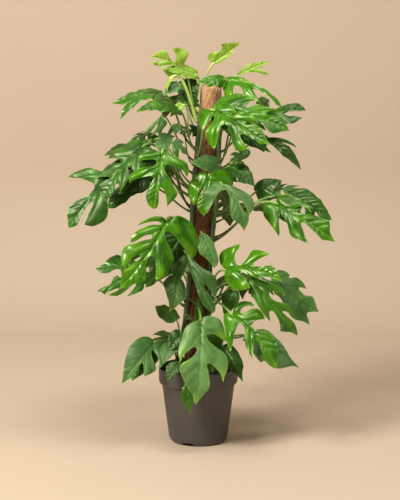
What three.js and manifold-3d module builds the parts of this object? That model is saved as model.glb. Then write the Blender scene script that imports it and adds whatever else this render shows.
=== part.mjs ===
// A mini monstera (Rhaphidophora tetrasperma) that climbs a coir pole in its nursery pot.
// Millimetres, +Z up. The origin is the centre of the pot's base, and -Y is the plant's front.

import * as THREE from "three";
import { mergeVertices } from "three/addons/utils/BufferGeometryUtils.js";
import Module from "manifold-3d";

const wasm = await Module();
wasm.setup();

// ---- Driving dimensions ----------------------------------------------------------------------

const GAP = 0.3; // clearance between pieces that touch

const POT = {
  height: 180,
  baseRadius: 70.5,
  shoulderRadius: 87, // just under the rim band
  rimRadius: 95,
  rimHeight: 40,
  wall: 2.2,
  floor: 2.5,
  sides: 32,
};
const DRAIN = { count: 4, width: 26, height: 6, firstAngle: 249 };

const SOIL = { top: 168, lump: 2.4, rings: 5 };

const POLE = {
  foot: [-22, 4, 14],
  top: [31, 4, 843],
  radius: 23,
  lump: 0.9,
  sides: 16,
  rings: 14,
};
const STAKE = { radius: 8, proud: 4, point: 10, sides: 12 };

const VINE = { sides: 7, steps: 26 };
const PETIOLE = { sides: 5, steps: 5, sunk: 5 };
const BLADE = {
  thickness: 1,
  ribPoints: 4,
  web: 0.075, // how near the slits come to the midrib, in lengths of it
  slit: 0.03, // the least width of a slit, and half its width at the bottom
  firstBack: 0.78, // how much narrower the first lobe is on the side of the leaf's base
  lastSlit: 0.12, // from the last lobe's root to the slit that parts it from the end lobe
};

const COLOURS = {
  pot: 0x4a433d,
  soil: 0x2b1b12,
  coir: 0x7a4a2c,
  stake: 0xb08a5c,
  vine: 0x5d7040,
  lime: 0x93bf3a,
  bright: 0x4f9a1c,
  mid: 0x3c7d22,
  dark: 0x24551a,
  grey: 0x5f8a5c,
};

// The vines, bottom to top. Each step is a height, then an angle round the pole (0 is +X, 270 is the
// front) and the distance of the stem's middle from the pole's axis.
const VINES = {
  a: {
    radius: 5.5,
    steps: [
      [100, 205, 52],
      [170, 208, 48],
      [240, 212, 40],
      [300, 215, 33],
      [400, 222, 31],
      [500, 214, 31],
      [600, 205, 31],
      [700, 218, 31],
      [800, 228, 30.5],
    ],
  },
  b: {
    radius: 6,
    steps: [
      [100, 315, 56],
      [170, 318, 52],
      [240, 322, 42],
      [310, 325, 34],
      [420, 318, 32],
      [520, 322, 32],
      [620, 334, 32],
      [720, 326, 31],
      [815, 318, 31],
    ],
  },
  c: {
    radius: 4.5,
    steps: [
      [100, 140, 50],
      [170, 142, 46],
      [240, 146, 36],
      [320, 150, 31],
      [450, 146, 30],
      [580, 154, 30],
      [700, 148, 30],
      [790, 140, 30],
    ],
  },
  d: {
    radius: 4.5,
    steps: [
      [100, 40, 50],
      [170, 38, 46],
      [240, 36, 36],
      [320, 34, 31],
      [450, 38, 30],
      [580, 32, 30],
      [700, 38, 30],
      [780, 44, 30],
    ],
  },
};

// One side of a blade: the half width of its end lobe, then each side lobe as where it leaves the
// midrib, and how far along and how far out its tip lies, all in lengths of the midrib. A fourth
// number swells the lobe's rear edge.
const side = (end, ...lobes) => ({ end, lobes });

// A side of evenly spaced lobes that shorten towards the tip.
const EVEN = { first: 0.03, span: 0.54, sweep: 0.2, lean: 0.07, taper: 0.16 };
const even = (count, reach, end = 0.1) => {
  const lobes = [];
  for (let i = 0; i < count; i++) {
    const root = EVEN.first + (EVEN.span * i) / count;
    const ahead = root + EVEN.sweep + EVEN.lean * i;
    lobes.push([root, ahead, reach * (1 - EVEN.taper * i)]);
  }
  return side(end, ...lobes);
};

// The leaves, laid in this order. Each has the vine it grows from and the height it leaves it, the
// base and tip of its blade, the way its upper face looks, the two sides of its blade (right and
// left, seen from above with the tip ahead), how far its midrib arches and how much it droops at
// the sides, and its tone.
const LEAVES = {
  front_big: {
    vine: ["a", 450], base: [-71, -130, 551], tip: [-175, -200, 404], face: [0.2, -1, 0.4],
    right: side(0.12, [0.02, 0.23, 0.25], [0.16, 0.48, 0.23], [0.38, 0.72, 0.18]),
    left: side(0.18, [0.04, 0.18, 0.51, 1.2], [0.28, 0.66, 0.3, 1.1]),
    bow: 0.06, droop: 0.5, tone: "bright",
  },
  over_pot: {
    vine: ["a", 350], base: [6, -104, 315], tip: [-6, -160, 127], face: [0, -1, 0.35],
    right: side(0.18, [0.05, 0.52, 0.22]),
    left: side(0.16, [0.02, 0.22, 0.3], [0.24, 0.69, 0.31, 1.1]),
    bow: 0.05, droop: 0.3, tone: "grey",
  },
  right_shoulder: {
    vine: ["a", 685], base: [35, -110, 797], tip: [158, -190, 726], face: [0, -1, 0.3],
    right: side(0.1, [0, 0.04, 0.34], [0.1, 0.35, 0.45], [0.4, 0.78, 0.21]),
    left: side(0.1, [0.05, 0.26, 0.3], [0.22, 0.5, 0.34], [0.45, 0.75, 0.21]),
    bow: 0.05, droop: 0.35, tone: "bright",
  },
  right_hand: {
    vine: ["b", 555], base: [181, -70, 580], tip: [313, -120, 498], face: [0, -1, 0.4],
    right: side(0.13, [0, 0.31, 0.38], [0.32, 0.68, 0.27]),
    left: side(0.12, [0.06, 0.3, 0.32], [0.36, 0.78, 0.22]),
    bow: 0.08, droop: 0.4, tone: "bright",
  },
  centre_left: {
    vine: ["a", 600], base: [-82, -120, 703], tip: [-100, -165, 579], face: [0, -1, 0.3],
    right: side(0.15, [0.02, 0.12, 0.38], [0.3, 0.58, 0.48]),
    left: side(0.12, [0.08, 0.37, 0.48], [0.42, 0.84, 0.27]),
    bow: 0.08, droop: 0.4, tone: "bright",
  },
  left_far: {
    vine: ["a", 590], base: [-154, -60, 691], tip: [-295, -130, 532], face: [-0.3, -1, 0.4],
    right: side(0.13, [0.06, 0.28, 0.22], [0.36, 0.58, 0.36]),
    left: side(0.08, [0.04, 0.3, 0.22], [0.36, 0.86, 0.15]),
    bow: 0.08, droop: 0.4, tone: "mid",
  },
  right_glossy: {
    vine: ["b", 385], base: [61, -110, 432], tip: [200, -175, 388], face: [0, -1, 0.4],
    right: side(0.1, [0.02, 0.32, 0.24], [0.35, 0.66, 0.16]),
    left: side(0.1, [-0.02, -0.16, 0.3], [0.05, 0.03, 0.44], [0.22, 0.5, 0.46, 1.4], [0.46, 0.7, 0.32]),
    bow: 0.08, droop: 0.4, tone: "bright",
  },
  right_hanging: {
    vine: ["b", 330], base: [120, -75, 412], tip: [228, -140, 284], face: [0, -1, 0.4],
    right: side(0.08, [0.03, 0.27, 0.24], [0.27, 0.54, 0.24], [0.5, 0.78, 0.14]),
    left: side(0.08, [0.05, 0.32, 0.3], [0.33, 0.67, 0.22]),
    bow: 0.08, droop: 0.4, tone: "mid",
  },
  low_right: {
    vine: ["b", 350], base: [77, -134, 333], tip: [177, -198, 221], face: [0, -1, 0.4],
    right: side(0.1, [0, 0.42, 0.36], [0.34, 0.7, 0.2]),
    left: side(0.12, [0, 0.07, 0.33], [0.14, 0.34, 0.34], [0.48, 0.8, 0.19]),
    bow: 0.08, droop: 0.4, tone: "bright",
  },
  low_left: {
    vine: ["a", 225], base: [-102, -50, 251], tip: [-177, -110, 165], face: [0, -1, 0.4],
    right: side(0.26),
    left: side(0.1, [0, 0.1, 0.33], [0.2, 0.42, 0.34], [0.4, 0.66, 0.26]),
    bow: 0.1, droop: 0.5, tone: "grey",
  },
  centre_grey: {
    vine: ["a", 395], base: [-29, -100, 472], tip: [36, -150, 339], face: [0, -1, 0.3],
    right: side(0.14, [0.06, 0.47, 0.41]),
    left: side(0.1, [0.08, 0.5, 0.24], [0.42, 0.78, 0.17]),
    bow: 0.06, droop: 0.3, tone: "grey",
  },
  collar_bright: {
    vine: ["b", 590], base: [25, -114, 650], tip: [13, -142, 560], face: [0, -1, 0.4],
    right: side(0.18, [0.04, 0.5, 0.45]),
    left: side(0.18, [0, 0.3, 0.58]),
    bow: 0.08, droop: 0.5, tone: "bright",
  },
  collar_grey: {
    vine: ["b", 520], base: [54, -80, 627], tip: [105, -110, 521], face: [0, -1, 0.3],
    right: side(0.15, [0.04, 0.36, 0.48, 1.3]),
    left: side(0.13, [0.06, 0.7, 0.28, 1.4]),
    bow: 0.08, droop: 0.4, tone: "grey",
  },
  collar_band: {
    vine: ["b", 600], base: [50, -68, 668], tip: [-19, -84, 675], face: [0, -1, 0.7],
    right: side(0.28),
    left: side(0.28),
    bow: 0.1, droop: 0.5, tone: "grey",
  },
  collar_dark: {
    vine: ["d", 598], base: [70, -20, 661], tip: [131, -58, 618], face: [0, -0.8, 1],
    right: side(0.2, [0.15, 0.5, 0.33]),
    left: side(0.2, [0.05, 0.4, 0.4]),
    bow: 0.12, droop: 0.5, tone: "dark",
  },
  crown_lime: {
    vine: ["a", 790], base: [-33, -20, 878], tip: [-108, -45, 914], face: [0, -1, 0.2],
    right: side(0.28, [0.2, 0.42, 0.5, 2]),
    left: side(0.16, [0.04, 0.34, 0.27], [0.42, 0.74, 0.2]),
    bow: 0.05, droop: 0.2, tone: "lime",
  },
  crown_new: {
    vine: ["d", 775], base: [36, 36, 898], tip: [98, 8, 946], face: [0.6, -1, -0.2],
    right: side(0.14),
    left: side(0.12, [0.05, 0.4, 0.3]),
    bow: -0.08, droop: -0.9, tone: "lime",
  },
  crown_drop: {
    vine: ["a", 765], base: [-62, -45, 866], tip: [-71, -60, 838], face: [-1, -0.6, 0.4],
    right: side(0.3),
    left: side(0.3),
    bow: 0.1, droop: 0.4, tone: "lime",
  },
  crown_right: {
    vine: ["b", 780], base: [64, -20, 861], tip: [194, -60, 800], face: [0, -0.5, 1],
    right: side(0.1, [0.03, 0.24, 0.4], [0.26, 0.5, 0.42], [0.5, 0.75, 0.25]),
    left: side(0.1, [0.03, 0.24, 0.4], [0.26, 0.5, 0.42], [0.5, 0.75, 0.25]),
    bow: 0.12, droop: 0.5, tone: "bright",
  },
  crown_blades: {
    vine: ["d", 770], base: [80, 32, 878], tip: [165, 22, 905], face: [0, -0.5, 1],
    right: side(0.08, [0.05, 0.55, 0.3], [0.4, 0.9, 0.18]),
    left: side(0.08, [0.05, 0.55, 0.3], [0.4, 0.9, 0.18]),
    bow: 0.15, droop: 0.3, tone: "lime",
  },
  crown_back: {
    vine: ["c", 785], base: [13, 64, 878], tip: [61, 90, 870], face: [0, -0.5, 1],
    right: even(1, 0.5, 0.25),
    left: even(1, 0.5, 0.25),
    bow: 0.15, droop: 0.5, tone: "mid",
  },
  crown_left: {
    vine: ["c", 700], base: [-82, 16, 829], tip: [-199, -36, 809], face: [-0.2, -0.7, 1],
    right: even(3, 0.38),
    left: even(3, 0.38),
    bow: 0.14, droop: 0.5, tone: "mid",
  },
  left_shelf: {
    vine: ["a", 700], base: [-43, -64, 795], tip: [-141, -124, 793], face: [0, -0.6, 1],
    right: even(3, 0.42),
    left: even(3, 0.42),
    bow: 0.14, droop: 0.6, tone: "bright",
  },
  left_under: {
    vine: ["c", 670], base: [-86, -20, 778], tip: [-111, -50, 734], face: [0.6, 0.3, 1],
    right: even(2, 0.5),
    left: even(2, 0.5),
    bow: 0.1, droop: 0.4, tone: "grey",
  },
  left_top: {
    vine: ["c", 615], base: [-98, 34, 728], tip: [-163, 20, 712], face: [-0.3, -0.4, 1],
    right: even(2, 0.5),
    left: even(2, 0.5),
    bow: 0.16, droop: 0.5, tone: "dark",
  },
  left_outer: {
    vine: ["c", 600], base: [-150, -5, 700], tip: [-217, -30, 690], face: [-0.2, -0.6, 1],
    right: even(2, 0.5),
    left: even(2, 0.5),
    bow: 0.12, droop: 0.5, tone: "mid",
  },
  left_below: {
    vine: ["a", 555], base: [-112, -30, 614], tip: [-208, -60, 568], face: [0, -0.8, 1],
    right: even(2, 0.4),
    left: even(2, 0.4),
    bow: 0.12, droop: 0.5, tone: "dark",
  },
  left_behind: {
    vine: ["c", 640], base: [-90, -77, 730], tip: [-21, -69, 690], face: [0.2, -0.7, 1],
    right: even(2, 0.45),
    left: even(2, 0.45),
    bow: 0.12, droop: 0.5, tone: "grey",
  },
  collar_right: {
    vine: ["d", 525], base: [135, -10, 600], tip: [195, -30, 630], face: [0, -1, 0.5],
    right: side(0.25, [0.02, 0.2, 0.5]),
    left: side(0.25),
    bow: 0.1, droop: 0.4, tone: "dark",
  },
  right_pale: {
    vine: ["d", 488], base: [165, -15, 598], tip: [251, -40, 597], face: [0.1, -0.4, 1],
    right: even(2, 0.35),
    left: even(2, 0.35),
    bow: 0.14, droop: 0.4, tone: "grey",
  },
  right_dark: {
    vine: ["d", 690], base: [139, 10, 783], tip: [249, -20, 792], face: [0, -1, 0.7],
    right: side(0.1, [0, 0.2, 0.4], [0.22, 0.5, 0.42], [0.46, 0.78, 0.28]),
    left: side(0.1, [0, 0.1, 0.3], [0.35, 0.62, 0.16]),
    bow: 0.1, droop: 0.4, tone: "dark",
  },
  right_top: {
    vine: ["b", 740], base: [38, -78, 818], tip: [117, -98, 834], face: [0, -1, 1],
    right: side(0.24),
    left: side(0.24),
    bow: 0.1, droop: 0.4, tone: "bright",
  },
  right_inner: {
    vine: ["b", 676], base: [95, -70, 750], tip: [168, -92, 699], face: [0, -0.8, 1],
    right: even(2, 0.4),
    left: even(2, 0.4),
    bow: 0.12, droop: 0.5, tone: "dark",
  },
  right_thin: {
    vine: ["d", 650], base: [159, -10, 724], tip: [236, -30, 658], face: [0.5, -0.5, 1],
    right: even(3, 0.36, 0.08),
    left: even(3, 0.36, 0.08),
    bow: 0.14, droop: 0.6, tone: "dark",
  },
  right_small: {
    vine: ["d", 600], base: [87, 50, 669], tip: [116, 60, 643], face: [0.3, -0.6, 1],
    right: even(1, 0.5, 0.2),
    left: even(1, 0.5, 0.2),
    bow: 0.1, droop: 0.4, tone: "lime",
  },
  left_lobed: {
    vine: ["a", 330], base: [-96, -44, 400], tip: [-238, -74, 431], face: [0, -0.8, 1],
    right: even(3, 0.36, 0.08),
    left: even(4, 0.42, 0.08),
    bow: 0.12, droop: 0.5, tone: "dark",
  },
  centre_behind: {
    vine: ["a", 340], base: [-54, -78, 413], tip: [-68, -102, 331], face: [-0.3, -1, 0.4],
    right: side(0.25, [0.05, 0.5, 0.4]),
    left: side(0.25, [0.05, 0.5, 0.4]),
    bow: 0.1, droop: 0.4, tone: "grey",
  },
  low_young: {
    vine: ["a", 262], base: [-52, -45, 303], tip: [-100, -60, 338], face: [-0.2, 0.7, 1],
    right: side(0.36),
    left: side(0.36),
    bow: 0.1, droop: 0.5, tone: "mid",
  },
  centre_right: {
    vine: ["b", 450], base: [8, -60, 510], tip: [37, -74, 430], face: [0.2, -1, 0.3],
    right: side(0.3),
    left: side(0.22, [0.1, 0.5, 0.36]),
    bow: 0.1, droop: 0.4, tone: "grey",
  },
  right_wide: {
    vine: ["d", 340], base: [173, -30, 413], tip: [281, -70, 326], face: [0.1, -1, 0.5],
    right: even(3, 0.36),
    left: even(4, 0.36),
    bow: 0.1, droop: 0.4, tone: "grey",
  },
  low_right_behind: {
    vine: ["d", 235], base: [115, -35, 262], tip: [235, -90, 198], face: [0, -1, 0.6],
    right: side(0.2, [0.05, 0.3, 0.35], [0.3, 0.6, 0.3]),
    left: side(0.26),
    bow: 0.12, droop: 0.5, tone: "grey",
  },
  low_back: {
    vine: ["c", 215], base: [-60, 30, 245], tip: [-110, 20, 252], face: [-0.2, -0.4, 1],
    right: side(0.3),
    left: side(0.3),
    bow: 0.14, droop: 0.5, tone: "mid",
  },
  low_inner: {
    vine: ["a", 205], base: [-62, -62, 250], tip: [-82, -92, 205], face: [-0.3, -1, 0.8],
    right: side(0.3),
    left: side(0.3),
    bow: 0.12, droop: 0.5, tone: "grey",
  },
  rim_left: {
    vine: ["a", 192], base: [-42, -96, 214], tip: [-72, -122, 172], face: [-0.2, -1, 0.5],
    right: side(0.32),
    left: side(0.32),
    bow: 0.12, droop: 0.4, tone: "mid",
  },
  rim_front: {
    vine: ["b", 188], base: [-18, -118, 190], tip: [-18, -129, 98], face: [0, -1, 0.2],
    right: side(0.22, [0.3, 0.55, 0.25]),
    left: side(0.22),
    bow: 0.04, droop: 0.4, tone: "mid",
  },
  rim_right: {
    vine: ["b", 215], base: [55, -75, 245], tip: [104, -112, 168], face: [0.2, -1, 0.5],
    right: side(0.22, [0.05, 0.4, 0.34]),
    left: side(0.3),
    bow: 0.12, droop: 0.4, tone: "dark",
  },
  back_top_left: {
    vine: ["c", 740], base: [-40, 90, 815], tip: [-85, 200, 760], face: [-0.2, 0.8, 1],
    right: even(3, 0.4),
    left: even(3, 0.4),
    bow: 0.12, droop: 0.5, tone: "mid",
  },
  back_top_right: {
    vine: ["d", 730], base: [80, 85, 790], tip: [135, 200, 700], face: [0.3, 1, 0.7],
    right: even(3, 0.42),
    left: even(3, 0.42),
    bow: 0.12, droop: 0.5, tone: "bright",
  },
  back_mid_left: {
    vine: ["c", 560], base: [-95, 100, 650], tip: [-175, 200, 570], face: [-0.5, 1, 0.7],
    right: even(3, 0.42),
    left: even(3, 0.42),
    bow: 0.12, droop: 0.5, tone: "dark",
  },
  back_mid_right: {
    vine: ["d", 500], base: [55, 120, 590], tip: [80, 245, 485], face: [0.1, 1, 0.6],
    right: even(3, 0.42),
    left: even(3, 0.42),
    bow: 0.12, droop: 0.5, tone: "mid",
  },
  back_low_left: {
    vine: ["c", 385], base: [-75, 110, 470], tip: [-145, 215, 370], face: [-0.4, 1, 0.6],
    right: even(3, 0.44),
    left: even(3, 0.44),
    bow: 0.12, droop: 0.5, tone: "bright",
  },
  back_low_right: {
    vine: ["d", 300], base: [85, 105, 385], tip: [165, 205, 285], face: [0.4, 1, 0.6],
    right: even(3, 0.42),
    left: even(3, 0.42),
    bow: 0.12, droop: 0.5, tone: "mid",
  },
};

// ---- Small tools -----------------------------------------------------------------------------

const vec = (xyz) => new THREE.Vector3(...xyz);
const rad = THREE.MathUtils.degToRad;
const mix = (a, b, k) => a + (b - a) * k;
const UP = new THREE.Vector3(0, 0, 1);

function solidOf(geometry) {
  const bare = geometry.clone();
  bare.deleteAttribute("normal");
  bare.deleteAttribute("uv");
  const merged = mergeVertices(bare, 1e-4);
  const vertProperties = merged.attributes.position.array;
  const triVerts = new Uint32Array(merged.index.array);
  return new wasm.Manifold(new wasm.Mesh({ numProp: 3, vertProperties, triVerts }));
}

function geometryOf(solid) {
  const { vertProperties, triVerts } = solid.getMesh();
  const geometry = new THREE.BufferGeometry();
  geometry.setAttribute("position", new THREE.BufferAttribute(vertProperties, 3));
  geometry.setIndex(new THREE.BufferAttribute(triVerts, 1));
  const flat = geometry.toNonIndexed();
  flat.computeVertexNormals();
  return flat;
}

function named(name, solid, colour, roughness) {
  const material = new THREE.MeshStandardMaterial({ color: colour, roughness, metalness: 0 });
  const mesh = new THREE.Mesh(geometryOf(solid), material);
  mesh.name = name;
  return mesh;
}

// A round section with few sides, whose corners lie on the radius.
function section(radius, sides) {
  const shape = new THREE.Shape();
  for (let i = 0; i < sides; i++) {
    const turn = (2 * Math.PI * i) / sides;
    const [x, y] = [radius * Math.cos(turn), radius * Math.sin(turn)];
    if (i) shape.lineTo(x, y);
    else shape.moveTo(x, y);
  }
  shape.closePath();
  return shape;
}

function tube(path, radius, sides, steps) {
  const geometry = new THREE.ExtrudeGeometry(section(radius, sides), {
    steps,
    extrudePath: path,
    bevelEnabled: false,
  });
  return solidOf(geometry);
}

// A solid turned about +Z from its profile of [radius, height] pairs.
function turned(profile, sides) {
  const points = profile.map(([r, z]) => new THREE.Vector2(r, z));
  return solidOf(new THREE.LatheGeometry(points, sides).rotateX(Math.PI / 2));
}

// ---- The pot ---------------------------------------------------------------------------------

const bandFoot = POT.height - POT.rimHeight;
const innerRadius = (z) => {
  const slope = (POT.shoulderRadius - POT.baseRadius) / bandFoot;
  return z < bandFoot ? POT.baseRadius + slope * z - POT.wall : POT.rimRadius - POT.wall - 1.5;
};

function makePot() {
  const { height, baseRadius, shoulderRadius, rimRadius, wall, floor, sides } = POT;
  const lip = 3;
  const body = turned(
    [
      [0, 0],
      [baseRadius - 3, 0],
      [baseRadius, 3],
      [shoulderRadius, bandFoot],
      [rimRadius - 2, bandFoot + 1.5],
      [rimRadius - 0.5, height - lip],
      [rimRadius, height - lip],
      [rimRadius, height],
      [rimRadius - wall, height],
      [innerRadius(bandFoot), bandFoot + wall + 2],
      [innerRadius(bandFoot - 1), bandFoot - wall],
      [innerRadius(floor), floor],
      [0, floor],
    ],
    sides,
  );
  let pot = body;
  for (let i = 0; i < DRAIN.count; i++) {
    const turn = rad(DRAIN.firstAngle + (360 / DRAIN.count) * i);
    const notch = new THREE.BoxGeometry(24, DRAIN.width, DRAIN.height * 2);
    notch.translate(baseRadius, 0, 0).rotateZ(turn);
    pot = pot.subtract(solidOf(notch));
  }
  return pot;
}

// ---- The pole: coir bound round a stake ------------------------------------------------------

const poleFoot = vec(POLE.foot);
const poleTop = vec(POLE.top);
const poleLength = poleFoot.distanceTo(poleTop);
const poleAxis = poleTop.clone().sub(poleFoot).normalize();
const poleTurn = new THREE.Quaternion().setFromUnitVectors(UP, poleAxis);
const poleMatrix = new THREE.Matrix4().compose(poleFoot, poleTurn, new THREE.Vector3(1, 1, 1));
const poleAt = (z) => poleFoot.clone().addScaledVector(poleAxis, (z - poleFoot.z) / poleAxis.z);

// The coir is uneven: its radius swells and thins along the pole and round it.
const coirRadius = (turn, z) =>
  POLE.radius + POLE.lump * Math.sin(3 * turn + 0.05 * z) * Math.cos(0.031 * z + 2 * turn);

function coirSolid(grow) {
  const { sides, rings } = POLE;
  const profile = [[0, -grow]];
  for (let i = 0; i <= rings; i++) profile.push([POLE.radius, (poleLength * i) / rings]);
  profile.push([0, poleLength + grow]);
  const points = profile.map(([r, z]) => new THREE.Vector2(r, z));
  const geometry = new THREE.LatheGeometry(points, sides).rotateX(Math.PI / 2);
  const place = geometry.attributes.position;
  for (let i = 0; i < place.count; i++) {
    const [x, y, z] = [place.getX(i), place.getY(i), place.getZ(i)];
    if (Math.hypot(x, y) < 1) continue;
    const turn = Math.round((Math.atan2(y, x) * sides) / (2 * Math.PI)) * ((2 * Math.PI) / sides);
    const radius = coirRadius(turn, z) + grow;
    place.setXYZ(i, radius * Math.cos(turn), radius * Math.sin(turn), z);
  }
  return solidOf(geometry.applyMatrix4(poleMatrix));
}

function stakeSolid(grow) {
  const { radius, proud, point, sides } = STAKE;
  const profile = [
    [0, -point - 2 * grow],
    [radius + grow, 0],
    [radius + grow, poleLength + proud],
    [0, poleLength + proud],
  ];
  const points = profile.map(([r, z]) => new THREE.Vector2(r, z));
  const geometry = new THREE.LatheGeometry(points, sides).rotateX(Math.PI / 2);
  return solidOf(geometry.applyMatrix4(poleMatrix));
}

// ---- The vines -------------------------------------------------------------------------------

// The middle of a vine at a height: from step to step it eases over to the next angle and distance.
function vineAt({ steps }, z) {
  const last = steps.length - 1;
  const next = steps.findIndex(([height], i) => i > 0 && (z <= height || i === last));
  const [low, high] = [steps[next - 1], steps[next]];
  const k = THREE.MathUtils.smoothstep(z, low[0], high[0]);
  const turn = rad(mix(low[1], high[1], k));
  const away = mix(low[2], high[2], k);
  return poleAt(z).add(vec([away * Math.cos(turn), away * Math.sin(turn), 0]));
}

// The way a vine runs at a height.
const vineRun = (vine, z) => vineAt(vine, z + 1).sub(vineAt(vine, z - 1)).normalize();

class VinePath extends THREE.Curve {
  constructor(vine) {
    super();
    this.vine = vine;
  }

  getPoint(k) {
    const { steps } = this.vine;
    return vineAt(this.vine, mix(steps[0][0], steps.at(-1)[0], k));
  }
}

const vineTube = ({ radius, ...vine }, grow) =>
  tube(new VinePath(vine), radius + grow, VINE.sides, VINE.steps);

// ---- The soil --------------------------------------------------------------------------------

const soilHeight = (x, y) =>
  SOIL.top + SOIL.lump * (Math.sin(0.11 * x + 1) * Math.cos(0.13 * y) + 0.5 * Math.sin(0.21 * (x - y)));

function makeSoil(pieces) {
  const foot = POT.floor + GAP;
  const edge = (z) => innerRadius(z) - GAP - 0.2;
  const profile = [
    [0, foot],
    [edge(foot), foot],
    [edge(bandFoot - 1) - 0.5, bandFoot - POT.wall - 1],
    [edge(bandFoot - 1) - 0.5, SOIL.top],
  ];
  for (let i = SOIL.rings - 1; i >= 0; i--) {
    profile.push([(edge(bandFoot - 1) * i) / SOIL.rings, SOIL.top]);
  }
  const points = profile.map(([r, z]) => new THREE.Vector2(r, z));
  const geometry = new THREE.LatheGeometry(points, POT.sides).rotateX(Math.PI / 2);
  const place = geometry.attributes.position;
  for (let i = 0; i < place.count; i++) {
    if (place.getZ(i) > SOIL.top - 1) place.setZ(i, soilHeight(place.getX(i), place.getY(i)));
  }
  let soil = solidOf(geometry);
  for (const piece of pieces) soil = soil.subtract(piece);
  return soil;
}

// ---- Blades ----------------------------------------------------------------------------------
// A blade is drawn flat as [s, t]: s runs from 0 at its base to 1 at its tip, and t is how far out
// from the midrib, both in lengths of the midrib.

// Half a lobe's width at most: a side with fewer lobes has wider ones.
const lobeHalf = (count) => 0.175 - 0.02 * count;

// Where a lobe's edges are drawn along its middle line, and how far from it, in half widths.
const BACK_EDGE = [
  [0.4, 1],
  [0.82, 0.95],
];
const FRONT_EDGE = [
  [0.75, 0.65],
  [0.35, 0.8],
];

// A lobe's middle line leaves the midrib nearly square and bends forward to the lobe's tip.
function lobeLine([root, ahead, out]) {
  const knee = [mix(root, ahead, 0.22), 0.68 * out];
  return (k) => {
    const at = (i, start, end) => (1 - k) ** 2 * start + 2 * k * (1 - k) * knee[i] + k * k * end;
    return [at(0, root, ahead), at(1, 0, out)];
  };
}

// The point of a lobe's edge beside its middle line at k: ahead of it or behind it.
function lobeEdge(line, k, width) {
  const [here, near] = [line(k), line(k - 0.02)];
  const run = [here[0] - near[0], here[1] - near[1]];
  const size = Math.hypot(...run);
  const out = Math.max(here[1] - (width * run[0]) / size, BLADE.web);
  return [here[0] + (width * run[1]) / size, out];
}

// The two corners at the bottom of the slit between neighbouring lobes.
function slitBottom(one, other, outs) {
  const k = BLADE.web / (0.68 * outs);
  const [a, b] = [one(k), other(k)];
  const apart = Math.hypot(b[0] - a[0], b[1] - a[1]);
  const half = Math.min(BLADE.slit / apart, 0.25);
  const corner = (share) => [mix(a[0], b[0], share), mix(a[1], b[1], share)];
  return [corner(0.5 - half), corner(0.5 + half)];
}

// The outline of a side with no lobes.
const wholeSide = (end) => [
  [-0.05, 0.45 * end],
  [-0.02, 0.85 * end],
  [0.18, 1.2 * end],
  [0.42, 1.15 * end],
  [0.68, 0.75 * end],
  [0.88, 0.28 * end],
];

// The outline of one side, from base to tip, without those two points.
function sideOutline({ end, lobes }) {
  if (!lobes.length) return wholeSide(end);
  const { web, slit } = BLADE;
  const widest = lobeHalf(lobes.length);
  const lines = lobes.map(lobeLine);
  // The share of its width that a lobe keeps beside its neighbour, so that the slit stays open.
  const room = (line, k, other) => {
    const [s, t] = line(k);
    let apart = 1;
    for (let j = 0; j <= 1; j += 0.125) {
      const [otherS, otherT] = other(j);
      apart = Math.min(apart, Math.hypot(otherS - s, otherT - t));
    }
    return THREE.MathUtils.clamp((apart - slit) / (1.8 * widest), 0.15, 1);
  };
  const outline = [[-0.03, 0.05]];
  lobes.forEach(([, ahead, out, swell = 1], i) => {
    for (const [k, width] of BACK_EDGE) {
      const share = i ? room(lines[i], k, lines[i - 1]) : BLADE.firstBack;
      outline.push(lobeEdge(lines[i], k, -width * swell * share * widest));
    }
    outline.push([ahead, out]);
    if (i + 1 === lobes.length) return;
    for (const [k, width] of FRONT_EDGE) {
      outline.push(lobeEdge(lines[i], k, width * room(lines[i], k, lines[i + 1]) * widest));
    }
    outline.push(...slitBottom(lines[i], lines[i + 1], out + lobes[i + 1][2]));
  });
  const foot = lobes.at(-1)[0] + BLADE.lastSlit;
  const front = lobeEdge(lines.at(-1), 0.65, 0.8 * widest);
  if (front[0] > foot) front[1] = Math.max(front[1], end + 0.045);
  outline.push(front, [foot - 0.03, web], [foot + 0.03, web]);
  outline.push([mix(foot, 1, 0.3), Math.max(web, 0.9 * end)]);
  outline.push([mix(foot, 1, 0.6), 1.05 * end], [mix(foot, 1, 0.85), 0.52 * end]);
  return outline;
}

// The blade's own axes: ahead along the midrib, up from its upper face, and right.
function bladeAxes({ base, tip, face }) {
  const ahead = vec(tip).sub(vec(base));
  const length = ahead.length();
  ahead.normalize();
  const up = vec(face).addScaledVector(ahead, -vec(face).dot(ahead)).normalize();
  const right = ahead.clone().cross(up);
  return { length, ahead, up, right };
}

// The place in space of the blade's point [s, t], and the way the upper face looks there.
function bladePoint(leaf, axes, s, t) {
  const { length, ahead, up, right } = axes;
  const bowed = Math.min(Math.max(s, 0), 1);
  const arch = 4 * leaf.bow * bowed * (1 - bowed);
  const slope = 4 * leaf.bow * (1 - 2 * bowed);
  const run = ahead.clone().addScaledVector(up, slope).normalize();
  const rise = right.clone().cross(run);
  const place = vec(leaf.base).addScaledVector(ahead, s * length);
  place.addScaledVector(up, arch * length + Math.min(s, 0) * slope * length);
  const lift = 0.16 * Math.abs(t) - leaf.droop * t * t * 1.6;
  const ripple = 0.05 * Math.abs(t) * Math.sin(14 * s + 9 * t + 5 * leaf.bow * length);
  place.addScaledVector(right, t * length);
  place.addScaledVector(rise, (lift + ripple) * length);
  return { place, rise };
}

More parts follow.
